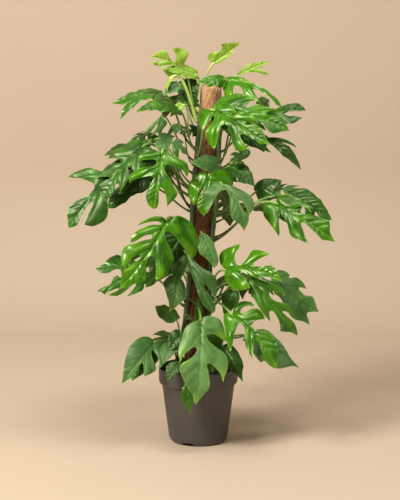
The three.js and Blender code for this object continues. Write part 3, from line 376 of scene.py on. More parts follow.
# %% Table of leaves
LEAVES = read_leaves("""
front_big a 450 / -71 -130 551 / -175 -200 404 / 0.2 -1 0.4 / 0.06 0.5 bright age=0.2 sway=-0.04
/ 1,10 9,19 16,24 22,27 26,28! 17,21 11,14 7,7 7,3 11,5 15,14 23,19 31,24 39,27 46,25 49,24! 44,20 35,16
27,10 27,6 33,6 39,11 46,18 51,24 56,28 64,26 71,22 76,16 78,11! 72,12 66,13 60,11 55,8 55,4 59,4 67,7 74,9
80,11 87,8 94,4
/ -10,5 -17,17 -15,30 -8,42 -1,49 8,51 17,49! 15,39 13,28 10,14 11,7 15,3 18,5 23,11 27,20 31,26 35,31
42,31 49,32 58,32 65,28 69,26! 62,21 53,15 48,10 47,3 52,3 60,5 67,11 76,16! 82,13 86,8 91,5 96,3;
over_pot a 350 / 6 -104 315 / -6 -160 127 / 0 -1 0.35 / 0.05 0.3 grey age=0.35 sway=-0.02
/ 3,8 8,16 14,20 23,22 32,25 42,26 51,23! 46,21 42,18 37,13 34,10 32,5 34,3 39,5 44,8 49,14 53,21 58,24
64,22 73,17 82,11 89,4 96,3
/ -3,3 -5,9 -4,18 0,24 7,27 17,29 25,30! 21,24 17,18 16,11 17,7 21,6 26,10 31,16 35,23 39,29 47,33 56,33
65,30 72,29! 63,26 56,19 51,13 51,9 54,8 60,10 68,12 76,14 82,12 89,7 94,3;
right_shoulder a 685 / 35 -110 797 / 158 -190 726 / 0 -1 0.3 / 0.05 0.35 bright stalk=3.2 age=0.4
/ -13,3 -18,10 -15,17 -11,23 -3,29 6,34! 6,27 5,17 5,8 7,6 11,13 11,21 11,30 14,38 21,43 27,45 34,46! 34,38
31,28 28,19 26,13 30,9 36,10 44,16 53,25 63,31 68,32 75,27 81,21! 72,19 62,15 57,11 60,7 72,7 82,6 88,8
93,3
/ 1,10 10,17 20,19 33,13! 27,9 26,6 30,5 34,13 43,20 53,21 63,19 69,16! 61,13 54,9 51,7 57,6 64,10 72,14
81,11 90,4;
right_hand b 555 / 181 -70 580 / 313 -120 498 / 0 -1 0.4 / 0.08 0.4 bright age=0.6
/ -12,5 -17,11 -12,19 -6,26 2,28 15,33 24,36 31,39! 25,29 17,20 12,11 14,10 22,13 30,17 37,24 43,30 55,29
64,27 71,25! 62,20 55,14 47,8 46,4 50,3 58,4 67,6 77,8 84,9 90,5
/ -5,5 -5,11 1,17 9,20 20,23 30,23 41,21 50,14! 40,16 32,15 26,9 27,3 33,3 42,7 52,12 63,16 75,19! 81,15
84,8 91,3;
centre_left a 600 / -82 -120 703 / -100 -165 579 / 0 -1 0.3 / 0.08 0.4 bright
/ -1,12 1,24 5,32 12,36 20,37! 19,28 17,18 16,9 20,5 26,8 29,16 31,28 34,39 41,47 51,49 62,48! 56,43 51,33
48,24 45,14 47,7 54,8 63,12 74,15 83,16 95,10
/ 2,14 5,28 6,41 9,49 23,51 38,48! 29,43 23,33 21,22 21,13 25,8 32,10 40,15 50,23 61,31 69,38 77,35 84,29
93,22! 82,20 71,16 64,11 63,6 69,5 79,6 89,7 98,6;
left_far a 590 / -154 -60 691 / -295 -130 532 / -0.3 -1 0.4 / 0.08 0.4 mid age=0.75
/ 0,7 9,7 17,8 26,8 34,7 37,17 39,25 46,31 54,34 59,34! 53,24 50,15 49,9 51,3 57,3 64,5 70,9 81,12 88,11
94,5
/ 2,3 9,3 19,3 27,10 34,14 42,9! 45,9 49,12 59,21 66,26 72,27 78,25 85,21 87,16 88,13! 83,12 75,9 67,8 65,5
66,3 72,3 81,4 89,6 93,7! 97,3;
right_glossy b 385 / 61 -110 432 / 187 -168 415 / 0 -1 0.4 / 0.08 0.4 bright age=0 sway=-0.1
/ 4,14 10,25 18,34 33,40 45,38 54,32! 48,24 38,15 29,8 32,6 41,11 51,13 62,14 70,8 81,3 91,3
/ -13,10 -21,22 -21,33 -10,41 0,46 10,45! 10,37 7,30 10,19 16,8 23,3 28,3 32,11 36,21 36,28 40,33 53,34
69,32! 59,23 51,15 47,8 51,4 63,6 73,12 81,16 87,12 94,6;
right_hanging b 330 / 118 -124 420 / 227 -160 288 / 0 -1 0.4 / 0.08 0.4 mid age=0.1 sway=0.02
/ 7,7 17,12 30,14 41,16 52,17 63,16! 58,12 53,10 52,6 57,4 65,5 73,7 81,14! 86,9 91,3
/ 7,8 18,15 29,22 40,24 48,20! 40,18 34,13 32,7 37,4 45,5 53,11 59,17 68,17 76,15 83,11! 74,11 66,9 62,5
64,4 74,6 82,8 91,5;
low_right b 350 / 77 -134 333 / 177 -198 221 / 0 -1 0.4 / 0.08 0.4 bright age=0.4 sway=-0.06
/ -8,4 -6,11 5,20 18,29 27,36 35,40 41,41! 36,33 27,22 21,13 18,5 19,3 26,3 34,8 42,16 50,21 60,23 69,24!
62,17 54,10 50,5 52,3 61,4 71,7 80,9 90,6
/ -5,8 -9,13 -10,20 -7,28 2,31 11,30! 5,24 3,18 3,12 7,8 11,10 12,17 13,25 18,29 25,30 35,26! 29,17 29,11
31,5 37,3 42,6 48,12 54,16 61,17 70,17 78,15 86,11 93,6;
low_left a 225 / -102 -50 251 / -177 -110 165 / 0 -1 0.4 / 0.1 0.5 grey age=1
/ -1,12 2,21 9,27 26,29 41,30 57,24 72,17 86,8
/ -13,5 -14,18 -8,31 9,37 27,39 39,37! 29,32 22,23 17,11 17,5 23,7 32,17 37,30 43,35 56,32 68,25! 59,18
50,10 50,6 57,6 69,7 79,9 89,5;
centre_grey a 395 / -29 -100 472 / 36 -150 339 / 0 -1 0.3 / 0.06 0.3 grey age=1 skin=mid sway=0.02
/ 4,6 6,14 10,24 14,29 24,31 35,34 49,41! 44,33 38,25 32,18 28,12 29,6 35,4 44,5 57,6 70,9 81,9 92,6
/ 5,5 13,6 22,8 31,13 40,20 50,25 60,26 70,22 77,17 83,10! 74,11 65,10 58,8 55,5 61,4 71,6 81,8 89,8 97,4;
collar_bright b 590 / 25 -90 648 / 13 -112 556 / 0 -1 0.4 / 0.08 0.5 bright age=0.1
/ -7,16 -3,27 6,38 23,47 40,48 56,44 71,35 77,26! 62,23 46,19 30,11 35,8 50,16 64,21 78,21 89,13
/ -12,8 -17,24 -24,43 -21,56 -6,61 11,60 30,59! 24,48 18,36 14,23 14,11 23,6 37,9 51,13 68,13 85,8;
collar_grey b 520 / 54 -106 630 / 104 -142 526 / 0 -1 0.3 / 0.08 0.4 grey age=0.9 sway=-0.1
/ -10,9 -11,21 -7,36 -1,47 6,54 21,58 32,59 39,58! 31,46 22,33 16,21 11,11 12,4 19,3 30,6 46,15 61,20 71,20
78,14 86,7
/ 7,7 18,15 29,22 43,28 56,31 68,26 74,20 76,13! 62,12 50,10 43,9 45,4 54,3 65,5 75,11 83,13 93,6;
collar_band b 600 / 50 -68 668 / -19 -84 675 / 0 -1 0.7 / 0.1 0.5 grey age=1 / whole 0.28;
collar_dark d 598 / 70 -20 661 / 131 -58 618 / 0 -0.8 1 / 0.12 0.5 dark / whole 0.34 / whole 0.3;
crown_lime a 790 / -33 -20 878 / -108 -45 914 / 0 -1 0.2 / 0.05 0.2 lime stalk=2.6 sway=0.1
/ 4,10 8,24 7,41 11,52 28,49 46,41 57,34! 46,27 37,17 36,6 40,3 48,5 60,14 70,24! 83,21 93,12
/ 12,23 32,36 42,36 57,29 66,22! 50,20 34,14 23,6 31,4 45,10 62,18 76,23 89,19 93,9! 79,9 66,7 62,3 70,3
84,3;
crown_new d 775 / 36 36 898 / 98 8 946 / 0.3 -1 0.3 / -0.08 -0.4 lime
/ 6,8 26,11 48,11 68,10! 60,4 64,3 80,4
/ -4,8 -8,18 3,27 20,23 34,13 46,18 53,30! 74,18 92,7;
crown_drop a 765 / -62 -45 866 / -71 -60 838 / -1 -0.6 0.4 / 0.1 0.4 lime stalk=3.8 rise=0.85 / whole 0.3;
crown_right b 780 / 64 -20 861 / 194 -60 800 / 0 -0.5 1 / 0.12 0.5 bright sway=-0.04
/ 2,16 5,26 16,39 30,42! 24,32 17,17 23,13 33,21 43,29 54,28 66,29 76,32! 63,23 51,15 45,11 51,7 62,7 73,7
83,8 90,10! 95,3
/ -9,13 3,16 16,13 28,7! 35,3 46,3 58,4 73,4 87,4;
crown_blades d 770 / 88 32 868 / 167 22 901 / 0.4 -0.9 0.4 / 0.15 0.3 lime age=1
/ 10,3 30,5 44,9 58,16 72,26 86,34! 78,20 68,10 60,6 76,6 90,3
/ 6,5 25,11 50,14 75,10 92,4;
crown_back c 785 / 16 64 850 / 59 90 842 / 0 -0.5 1 / 0.15 0.5 mid / lobed 1 0.5 0.25;
crown_left c 700 / -82 16 829 / -199 -36 809 / -0.2 -0.7 1 / 0.14 0.5 mid age=0 sway=-0.12
/ whole 0.15
/ 1,22 16,30 29,28 37,27! 31,20 37,18 48,18 59,19 71,25 85,32 95,38 104,44! 96,32 88,22 80,16 87,15 95,11;
left_shelf a 700 / -43 -64 795 / -141 -124 793 / 0 -0.6 1 / 0.14 0.6 bright / whole 0.2 / whole 0.22;
left_under c 670 / -86 -20 778 / -111 -50 734 / 0.6 0.3 1 / 0.1 0.4 grey age=0.8 sway=-0.12
/ 29,21 63,33 92,27 101,20! 95,8 70,15 43,12 44,6 73,5
/ 6,17 11,30! 38,22 56,16 87,36! 73,11 78,5 87,7;
left_top c 615 / -98 34 728 / -163 20 712 / -0.3 -0.4 1 / 0.16 0.5 dark / lobed 2 0.5;
left_outer c 600 / -141 -5 700 / -218 -30 686 / -0.2 -0.6 1 / 0.12 0.5 mid / whole 0.3;
left_below a 555 / -112 -30 614 / -208 -60 568 / -0.5 -1 0.7 / 0.12 0.5 dark age=0
/ 19,6 40,21 59,32 71,35 84,25 95,11
/ 22,13 37,7 51,10 66,15 80,14 92,10;
left_behind c 640 / -90 -77 730 / -21 -69 690 / 0.2 -0.7 1 / 0.12 0.5 grey age=0.8 / lobed 2 0.45;
collar_right d 525 / 135 -10 600 / 195 -30 630 / 0 -1 0.5 / 0.1 0.4 dark / lobed 1 0.5 0.25 / whole 0.25;
right_pale d 488 / 165 -15 598 / 251 -40 597 / 0.1 -0.4 1 / 0.14 0.4 grey age=0.8 / lobed 2 0.35;
right_dark d 690 / 139 10 783 / 249 -20 792 / 0 -1 0.7 / 0.1 0.4 dark age=0.8 sway=0.02
/ 2,8 13,19 23,35 35,45 52,45 72,48! 60,35 52,23 53,21 59,30 71,35 85,29 94,19! 80,17 64,14 56,10 64,5 79,3
93,3
/ -10,25 -7,40 2,48 16,37 26,24! 24,13 29,3 38,3 51,7 64,13 80,16 90,12;
right_top b 740 / 36 -78 789 / 124 -98 828 / 0 -1 1 / 0.1 0.4 bright / whole 0.24;
right_inner b 676 / 95 -70 750 / 168 -92 699 / 0 -0.8 1 / 0.12 0.5 dark sway=0.12
/ 14,16 31,21 52,24 62,13 80,8
/ 18,6 41,10 65,11 83,5;
right_thin d 650 / 158 -10 726 / 239 -30 654 / 0.2 -1 0.4 / 0.14 0.3 dark
/ 10,6 30,6 40,9 53,10 68,6 88,3
/ 4,6 27,21 47,27 63,25! 46,21 25,11 38,15 60,14 82,8;
right_small d 600 / 87 50 669 / 116 60 643 / 0.3 -0.6 1 / 0.1 0.4 lime / lobed 1 0.5 0.2;
left_lobed a 330 / -96 -44 400 / -238 -74 431 / 0 -0.8 1 / 0.12 0.5 dark
/ 13,3 31,14 51,21 62,24 68,27 76,23 83,15 86,6 93,3
/ 4,14 12,23 20,28! 19,22 23,22 23,31 26,37 35,43 42,47 49,47! 43,40 38,32 35,26 41,28 50,39 60,46 66,49!
75,51 83,50! 72,46 64,41 63,38 74,43 82,45 88,48! 92,43 99,41! 89,36 78,36 75,28 72,20 67,16 62,22! 61,11
62,4 68,4 74,7 80,14 89,13 96,8;
centre_behind a 340 / -54 -78 413 / -68 -102 331 / -0.2 -1 0.9 / 0.1 0.4 grey age=0.2 sway=-0.12
/ -1,11 11,27 20,37! 40,31 58,22 74,11
/ 2,14 17,24 38,28 60,29 70,20 82,14;
low_young a 262 / -52 -45 303 / -100 -60 338 / -0.2 0.7 1 / 0.1 0.5 mid
/ -6,14 0,32 22,45 50,45 75,32 92,12;
centre_right b 450 / 8 -92 515 / 37 -112 436 / 0.2 -1 0.7 / 0.1 0.4 grey age=0.1
/ 10,15 31,27 52,29 66,17 83,8
/ 7,10 21,15 45,19 70,18 91,16;
right_wide d 340 / 173 -30 413 / 281 -70 326 / 0.1 -1 0.5 / 0.1 0.4 grey age=0.75 sway=0.1
/ 12,15 29,20! 40,17 54,23 71,31 83,31 91,27 103,28! 95,19 86,12 92,5
/ 3,5 6,12 15,20 25,22! 27,16 31,19 36,29 47,29 62,23! 54,20 50,16 55,13 65,12 71,15 76,19 88,9;
low_right_behind d 235 / 115 -35 262 / 235 -90 198 / 0 -1 0.6 / 0.12 0.5 grey age=0.8
/ 14,14 25,21 39,28 47,29! 50,23 57,25 68,26 78,21 85,12 90,5
/ -1,7 5,16 15,22 27,23 39,20 52,17 66,12 80,4;
low_back c 215 / -60 30 245 / -110 20 252 / -0.2 -0.4 1 / 0.14 0.5 mid / whole 0.3;
low_inner a 205 / -62 -62 250 / -82 -92 205 / -0.3 -1 0.8 / 0.12 0.5 grey age=1 / whole 0.3;
rim_left a 192 / -42 -96 214 / -72 -122 172 / -0.2 -1 0.5 / 0.12 0.4 mid age=1
/ 11,17 30,36 53,35 74,18
/ 18,23 44,28 60,17 77,15;
rim_front b 188 / -18 -118 190 / -18 -129 98 / 0 -1 0.2 / 0.04 0.4 mid sway=0.08
/ 18,6 38,13 51,18 68,14 83,7
/ 16,6 43,10 61,13 80,8;
rim_right b 215 / 55 -75 245 / 104 -112 168 / 0.2 -1 0.5 / 0.12 0.4 dark
/ -1,7 22,17 47,18 67,13 82,5
/ -2,19 14,24 35,25 57,21 69,19! 74,12 85,5;
back_top_left c 740 / -40 90 815 / -85 200 760 / -0.2 0.8 1 / 0.12 0.5 mid / lobed 3 0.4;
back_top_right d 730 / 80 85 790 / 135 200 700 / 0.3 1 0.7 / 0.12 0.5 bright / lobed 3 0.42;
back_mid_left c 560 / -95 100 650 / -175 200 570 / -0.5 1 0.7 / 0.12 0.5 dark / lobed 3 0.42;
back_mid_right d 500 / 55 120 590 / 80 245 485 / 0.1 1 0.6 / 0.12 0.5 mid / lobed 3 0.42;
back_low_left c 385 / -75 110 470 / -145 215 370 / -0.4 1 0.6 / 0.12 0.5 bright / lobed 3 0.44;
back_low_right d 300 / 85 105 385 / 165 205 285 / 0.4 1 0.6 / 0.12 0.5 mid / lobed 3 0.42;
""")
print("leaves:", len(LEAVES))

# %% [markdown]
# Between the large leaves sit smaller ones, which close the gaps as on a well grown plant. Copies of
# the large leaves could fill them, but simple outlines are lighter, and little of each is seen.

# %% Small leaves
SMALL_LEAVES = read_leaves("""
top_gloss b 795 / 61 -40 864 / -5 -62 856 / -0.3 -0.9 0.6 / 0.12 0.6 bright / whole 0.13 / lobed 2 0.34 0.14;
top_lime a 780 / -3 -8 872 / -81 -40 887 / 0.1 -1 0.8 / 0.06 0.4 lime / whole 0.2 / whole 0.17;
top_dark c 760 / -33 4 860 / -8 -14 796 / -0.3 -1 0.3 / 0.08 0.4 dark / whole 0.3 / whole 0.34;
top_inner c 740 / -1 -8 807 / -74 -34 820 / 0 -1 0.8 / 0.08 0.4 bright / whole 0.18 / whole 0.16;
top_fold a 770 / -44 -36 852 / -81 -52 826 / -0.2 -1 0.5 / 0.08 0.4 grey / whole 0.3 / whole 0.24;
shoulder_back b 720 / 47 -92 803 / 203 -146 755 / 0 -1 0.6 / 0.08 0.4 bright
/ lobed 2 0.3 0.16
/ lobed 2 0.24 0.14;
left_curl c 660 / -43 6 755 / -73 -8 733 / -0.2 -1 0.5 / 0.1 0.4 grey / whole 0.22 / lobed 1 0.34;
left_spiky c 640 / -1 10 743 / -45 -10 736 / 0 -1 0.4 / 0.08 0.4 dark / lobed 2 0.34 / lobed 2 0.3;
left_blade a 610 / -113 -70 724 / -146 -100 670 / -0.3 -1 0.2 / 0.08 0.3 grey / whole 0.16 / whole 0.14;
right_under b 545 / 207 -56 596 / 308 -76 543 / 0 -1 0.8 / 0.1 0.5 dark / lobed 2 0.3 0.16 / whole 0.26;
low_left_back a 215 / -112 -28 236 / -156 -62 159 / -0.2 -1 0.4 / 0.08 0.4 mid / whole 0.26 / whole 0.3;
pot_inner a 300 / 16 -56 299 / 34 -84 183 / 0 -1 0.3 / 0.06 0.3 mid / whole 0.24 / whole 0.26;
centre_hanging b 330 / 81 -60 376 / 60 -80 318 / 0 -1 0.2 / 0.06 0.3 mid / whole 0.26 / whole 0.28;
soil_left a 210 / -40 -60 276 / -70 -82 233 / -0.2 -1 0.4 / 0.06 0.4 dark / whole 0.32 / whole 0.3;
shelf_pale a 700 / -35 -40 805 / -65 -56 778 / -0.2 -1 0.2 / 0.04 0.2 lime / whole 0.24 / whole 0.16;
spear_low a 310 / 2 -84 307 / -3 -70 359 / 0.1 -1 0 / 0.03 0.2 bright / whole 0.17 / whole 0.15;
spear_right b 375 / 121 -112 402 / 135 -124 369 / 0.1 -1 0.2 / 0.04 0.2 lime / whole 0.16 / whole 0.14;
front_back a 430 / -31 -70 521 / -115 -106 394 / 0.2 -1 0.4 / 0.06 0.4 dark age=1 / whole 0.26;
left_mid c 600 / -126 -92 714 / -222 -126 590 / -0.5 -1 0.5 / 0.08 0.4 mid
/ lobed 2 0.3 0.16
/ lobed 2 0.26 0.14;
left_deep c 560 / -84 -50 683 / -175 -80 603 / -0.2 -1 0.4 / 0.08 0.4 dark / lobed 2 0.36 0.2 / whole 0.3;
right_scrap b 640 / 113 -36 703 / 71 -52 670 / -0.2 -1 0.4 / 0.08 0.4 bright / lobed 2 0.3 0.14 / whole 0.26;
rear_shoulder d 660 / 85 60 754 / 160 138 681 / 0.2 0.6 1 / 0.1 0.5 mid / lobed 2 0.36 0.2;
rear_left c 560 / -67 44 660 / -142 120 585 / -0.2 0.6 1 / 0.1 0.5 dark / lobed 2 0.36 0.2;
rear_hand d 480 / 152 50 564 / 228 124 501 / 0.3 0.6 1 / 0.1 0.5 mid / lobed 2 0.34 0.2 / whole 0.3;
rear_big c 400 / -44 64 495 / -114 140 410 / -0.2 0.7 1 / 0.1 0.5 dark / lobed 2 0.36 0.2;
rear_glossy d 340 / 76 64 388 / 157 140 315 / 0.2 0.7 1 / 0.1 0.5 mid / lobed 2 0.36 0.2;
rear_low d 230 / 130 60 241 / 207 124 177 / 0.2 0.7 1 / 0.1 0.5 dark / whole 0.3 / lobed 2 0.34 0.2;
rear_pot c 210 / -64 48 243 / -129 110 170 / -0.2 0.7 1 / 0.1 0.5 mid / whole 0.3 / lobed 1 0.34 0.2;
rear_collar d 540 / 90 72 562 / 116 128 510 / 0 0.8 0.8 / 0.1 0.5 mid / whole 0.34;
""")
print("small leaves:", len(SMALL_LEAVES))

# %% [markdown]
# The points of a side are turned into a smooth edge by corner cutting, which leaves the sharp tips
# alone: a broad lobe ends in a point, and a slit ends in a round arch beside the midrib. A picture of
# a leaf on a flat card would be quicker, but it looks flat from the side.

# %% Outline of a blade
def cut_corners(points):
    """Three rounds of corner cutting on rows of s, t and 1 where the point stays sharp."""
    for _ in range(3):
        rows = [points[0]]
        for here, ahead in zip(points, points[1:]):
            # less is cut beside a sharp point
            near, far = (0.12 if here[2] else 0.25), (0.88 if ahead[2] else 0.75)
            rows += [(*mix(here, ahead, near)[:2], 0), (*mix(here, ahead, far)[:2], 0)]
            if ahead[2]:
                rows.append(tuple(ahead))
        points = np.array(rows)
    return points[:, :2]


def even_steps(line, step):
    """The same line with points a step apart, and its sharp corners kept."""
    runs = np.diff(line, axis=0)
    runs = runs / np.maximum(np.hypot(*runs.T), 1e-9)[:, None]
    # a corner turns by more than 60 degrees
    corners = [i + 1 for i in range(len(runs) - 1) if runs[i] @ runs[i + 1] < 0.5]
    rows = []
    for start, end in zip([0, *corners], [*corners, len(line) - 1]):
        part = line[start : end + 1]
        along = np.concatenate([[0], np.cumsum(np.hypot(*np.diff(part, axis=0).T))])
        places = np.linspace(0, along[-1], max(2, round(along[-1] / step) + 1))[:-1]
        rows += [(np.interp(p, along, part[:, 0]), np.interp(p, along, part[:, 1])) for p in places]
    return np.array([*rows, line[-1]])


def edge_of(half, step):
    return even_steps(cut_corners(np.array([(0, 0, 1), *half, (1, 0, 1)], float)), step)


print("edge points of one side:", len(edge_of(LEAVES["over_pot"]["left"], 0.02)))

# %% [markdown]
# Veins give a leaf its structure. Each lobe has one main vein from the midrib through its neck to its
# tip, and the end lobe and the whole leaves have a few shorter ones. They are used three times: as
# edges of the mesh, so that the groove is crisp, as the distance that puffs the leaf up between them,
# and as the direction of the fine parallel veins in the material.

# %% Veins
# where the shorter veins leave the midrib
SHARES_PAST_SLITS, SHARES_OF_WHOLE_LEAF = (0.1, 0.3, 0.5, 0.7), (0.03, 0.16, 0.31, 0.47, 0.63, 0.79)


def arches_of(half):
    """Each sharp tip that has a slit in front of it, with the inner end of that slit."""
    found = []
    for i, row in enumerate(half):
        j = i + 1
        while row[2] and j + 1 < len(half) and half[j + 1][1] <= half[j][1]:
            j += 1
        if row[2] and j + 1 < len(half) and not half[j][2]:
            found.append((np.array(row[:2]), np.array(half[j][:2]), j))
    return found


def curve(root, neck, tip):
    """A line from the midrib that passes the neck of a lobe and bends to its tip."""
    # 0.6 of the bend that meets the neck at 0.35 of the way, and the rest of a straight line
    bend = 0.6 * (neck - 0.4225 * root - 0.1225 * tip) / 0.455 + 0.2 * (root + tip)
    return lambda k: (1 - k) ** 2 * root + 2 * k * (1 - k) * bend + k * k * tip


def veins_of(half):
    """The veins of one side, each as its points and how deep it is sunk."""
    slits, behind, rows = arches_of(half), np.array([0.0, 0.0]), []
    for tip, arch, _ in slits:
        neck = (behind + arch) / 2
        root = np.array([max(0.0, neck[0] - 1.1 * neck[1]), 0.0])
        rows.append((curve(root, neck, tip), 0.94, 1.0))
        behind = arch
    rest = np.array([row[:2] for row in half[slits[-1][2] if slits else 0 :]] + [(1, 0)])
    rest = rest[np.argsort(rest[:, 0])]
    foot = behind[0]
    for share in SHARES_PAST_SLITS if slits else SHARES_OF_WHOLE_LEAF:
        root = np.array([mix(foot, 1, share), 0.0])
        ahead = mix(root[0], 1, 0.3) + 0.02
        tip = np.array([ahead, 0.85 * np.interp(ahead, *rest.T)])
        rows.append((curve(root, mix(root, tip, 0.35) + (-0.01, 0.01), tip), 1.0, 0.55))
    return [(np.array([line(k) for k in np.linspace(0, reach, 14)]), depth) for line, reach, depth in rows]


def distance_to(points, line):
    """The distance from each point to a line of short runs."""
    starts, runs = line[:-1], np.diff(line, axis=0)
    away = points[:, None, :] - starts[None]
    share = np.clip((away * runs).sum(2) / np.maximum((runs**2).sum(1), 1e-12), 0, 1)
    gap = away - share[..., None] * runs
    return np.sqrt((gap**2).sum(2)).min(1)


print("veins on one side:", len(veins_of(LEAVES["over_pot"]["left"])))

# %% [markdown]
# A blade is not flat: its midrib arches, its sides droop, and each lobe bends a little. The large bend
# is a rule of s and t, the same as that of the solid. The relief is laid on it in millimetres: the
# midrib and the main veins are sunk, the leaf puffs up between them, the margins turn down, and a slow
# wave runs along the edge. Displacing the mesh itself gives true highlights, which bump alone cannot.

# %% Surface and relief of a blade
# across a blade: how steeply its sides rise from the midrib, sink with the droop, and ripple
VALLEY, DROOP, RIPPLE = 0.16, 1.6, 0.05
# shares of the length of a blade
MIDRIB_DEPTH, VEIN_DEPTH, PUFF, MARGIN_ROLL, WAVE, TURN_DOWN = 0.012, 0.008, 0.014, 0.012, 0.012, 1.3


def blade_axes(leaf):
    """The length of a blade and its directions: ahead, up and to the right."""
    length = np.linalg.norm(leaf["tip"] - leaf["base"])
    ahead = (leaf["tip"] - leaf["base"]) / length
    up = unit(leaf["face"] - ahead * (leaf["face"] @ ahead))
    return length, ahead, up, np.cross(ahead, up)


def on_blade(leaf, s, t):
    length, ahead, up, right = blade_axes(leaf)
    bowed, bow = np.clip(s, 0, 1), leaf["bow"]
    slope = 4 * bow * (1 - 2 * bowed)
    run = ahead + up * slope[:, None]
    rise = np.cross(right, run / np.linalg.norm(run, axis=1)[:, None])
    arch = 4 * bow * bowed * (1 - bowed) + np.minimum(s, 0) * slope
    lift = VALLEY * np.abs(t) - leaf["droop"] * t * t * DROOP
    lift = lift + RIPPLE * np.abs(t) * np.sin(14 * s + 9 * t + 5 * bow * length)
    place = leaf["base"] + ahead * (s * length)[:, None] + up * (arch * length)[:, None]
    aside = t + 4 * leaf.get("sway", 0) * bowed * (1 - bowed)
    return place + right * (aside * length)[:, None] + rise * (lift * length)[:, None]


def hump(distance, reach):
    """1 at no distance, and near 0 past twice the reach."""
    return np.exp(-((distance / reach) ** 2))


def relief(size, s, near, phase):
    """Height over the bent sheet in mm, from the distances to midrib, vein and edge in mm."""
    fade = 1 - 0.65 * np.clip(s, 0, 1)
    groove = -MIDRIB_DEPTH * size * fade * hump(near["mid"], 0.011 * size + 0.4)
    groove -= VEIN_DEPTH * size * near["depth"] * hump(near["vein"], 0.012 * size + 0.4)
    rib = np.minimum(near["mid"], near["vein"]) / size
    puff = PUFF * size * (1 - hump(rib, 0.04))
    turned = -TURN_DOWN * size * np.minimum(rib, 0.16) ** 2
    rolled = -MARGIN_ROLL * size * hump(near["edge"], 0.03 * size)
    wave = WAVE * size * np.sin(near["root"] * 23 + phase) * np.exp(-near["edge"] / (0.06 * size))
    return groove + puff + turned + rolled + wave * np.clip(near["mid"] / (0.1 * size), 0, 1)


print("over_pot blade is", round(blade_axes(LEAVES["over_pot"])[0]), "mm long")

# %% [markdown]
# The flat drawing becomes triangles with a Delaunay fill: the edge, the midrib and the veins are kept
# as edges of the mesh, and loose points between them give even triangles. A grid cut by the outline
# would leave steps along the slits.

# %% Flat plan of a blade
FINEST_STEP, STEP_SHARE = 1.9, 0.017  # in mm, and as a share of the blade
CLEAR_OF_EDGE, CLEAR_OF_LINES = 0.6, 0.55  # in steps


def inside(points, ring):
    """Which points lie inside a closed ring."""
    odd = np.zeros(len(points), bool)
    for (s1, t1), (s2, t2) in zip(ring, np.roll(ring, -1, axis=0)):
        crosses = (t1 > points[:, 1]) != (t2 > points[:, 1])
        odd ^= crosses & (points[:, 0] < s1 + (points[:, 1] - t1) * (s2 - s1) / (t2 - t1 + 1e-12))
    return odd


def hex_points(ring, step):
    low, high = ring.min(0), ring.max(0)
    across, along = np.arange(low[1], high[1], step * 0.87), np.arange(low[0], high[0], step)
    return np.array([(s + step / 2 * (i % 2), t) for i, t in enumerate(across) for s in along])


def blade_plan(leaf):
    """Points and triangles of the flat blade, and its closed edge and veins."""
    size = blade_axes(leaf)[0]
    step = max(FINEST_STEP, STEP_SHARE * size) / size
    right, left = edge_of(leaf["right"], step), edge_of(leaf["left"], step)
    ring = np.concatenate([right, left[-2:0:-1] * (1, -1)])
    closed = np.vstack([ring, ring[:1]])
    veins = veins_of(leaf["right"]) + [(line * (1, -1), depth) for line, depth in veins_of(leaf["left"])]
    midrib = np.array([(s, 0) for s in np.linspace(0, 1, round(1 / step))[1:-1]])
    chains = [[0, *range(len(ring), len(ring) + len(midrib)), len(right) - 1]]
    fixed = np.concatenate([ring, midrib])
    for line, depth in veins:
        part = even_steps(line, step)[1:]
        part = part[inside(part, ring)]
        part = part[distance_to(part, closed) > CLEAR_OF_EDGE * step] if len(part) else part
        if depth == 1 and len(part) > 1:
            chains.append(list(range(len(fixed), len(fixed) + len(part))))
            fixed = np.concatenate([fixed, part])
    loose = hex_points(ring, step)
    loose = loose[inside(loose, ring)]
    for line in [closed, *[fixed[chain] for chain in chains]]:
        loose = loose[distance_to(loose, line) > CLEAR_OF_LINES * step]
    ties = [pair for chain in chains for pair in zip(chain, chain[1:])]
    ties += [(i, (i + 1) % len(ring)) for i in range(len(ring))]
    corners = [Vector(corner) for corner in np.concatenate([fixed, loose])]
    made = delaunay_2d_cdt(corners, ties, [], 0, 1e-7, False)
    flat, faces = np.array([tuple(v) for v in made[0]]), np.array(made[2])
    faces = faces[inside(flat[faces].mean(1), ring)]
    used, faces = np.unique(faces, return_inverse=True)
    return flat[used], faces.reshape(-1, 3).tolist(), closed, veins


flat, faces, _, veins = blade_plan(LEAVES["front_big"])
print("flat plan of one blade:", len(flat), "points,", len(faces), "triangles,", len(veins), "veins")

# %% [markdown]
# The sheet gets two faces, 0.7 mm apart and thinner at the margin, sewn along the edge, so it is a
# closed solid leaf. The lower face also carries the midrib as a round ridge. Each corner keeps its
# distances to midrib, vein and edge as attributes, and the materials draw veins and pale margins from
# them. They follow the leaf wherever it bends, which a pattern in space would not.

# %% Solid blade
HALF_THICK, HALF_THICK_AT_EDGE, AT_EDGE = 0.35, 0.14, 0.05  # in mm
RIDGE_SHARE, RIDGE_REACH = 1.1, 1.9  # of the stalk's radius, and in mm
TIP_REACH, FAR_FROM_VEINS = 0.16, 9.0  # in lengths of the blade
MATT_RELIEF = 0.55  # the grey leaves are flatter


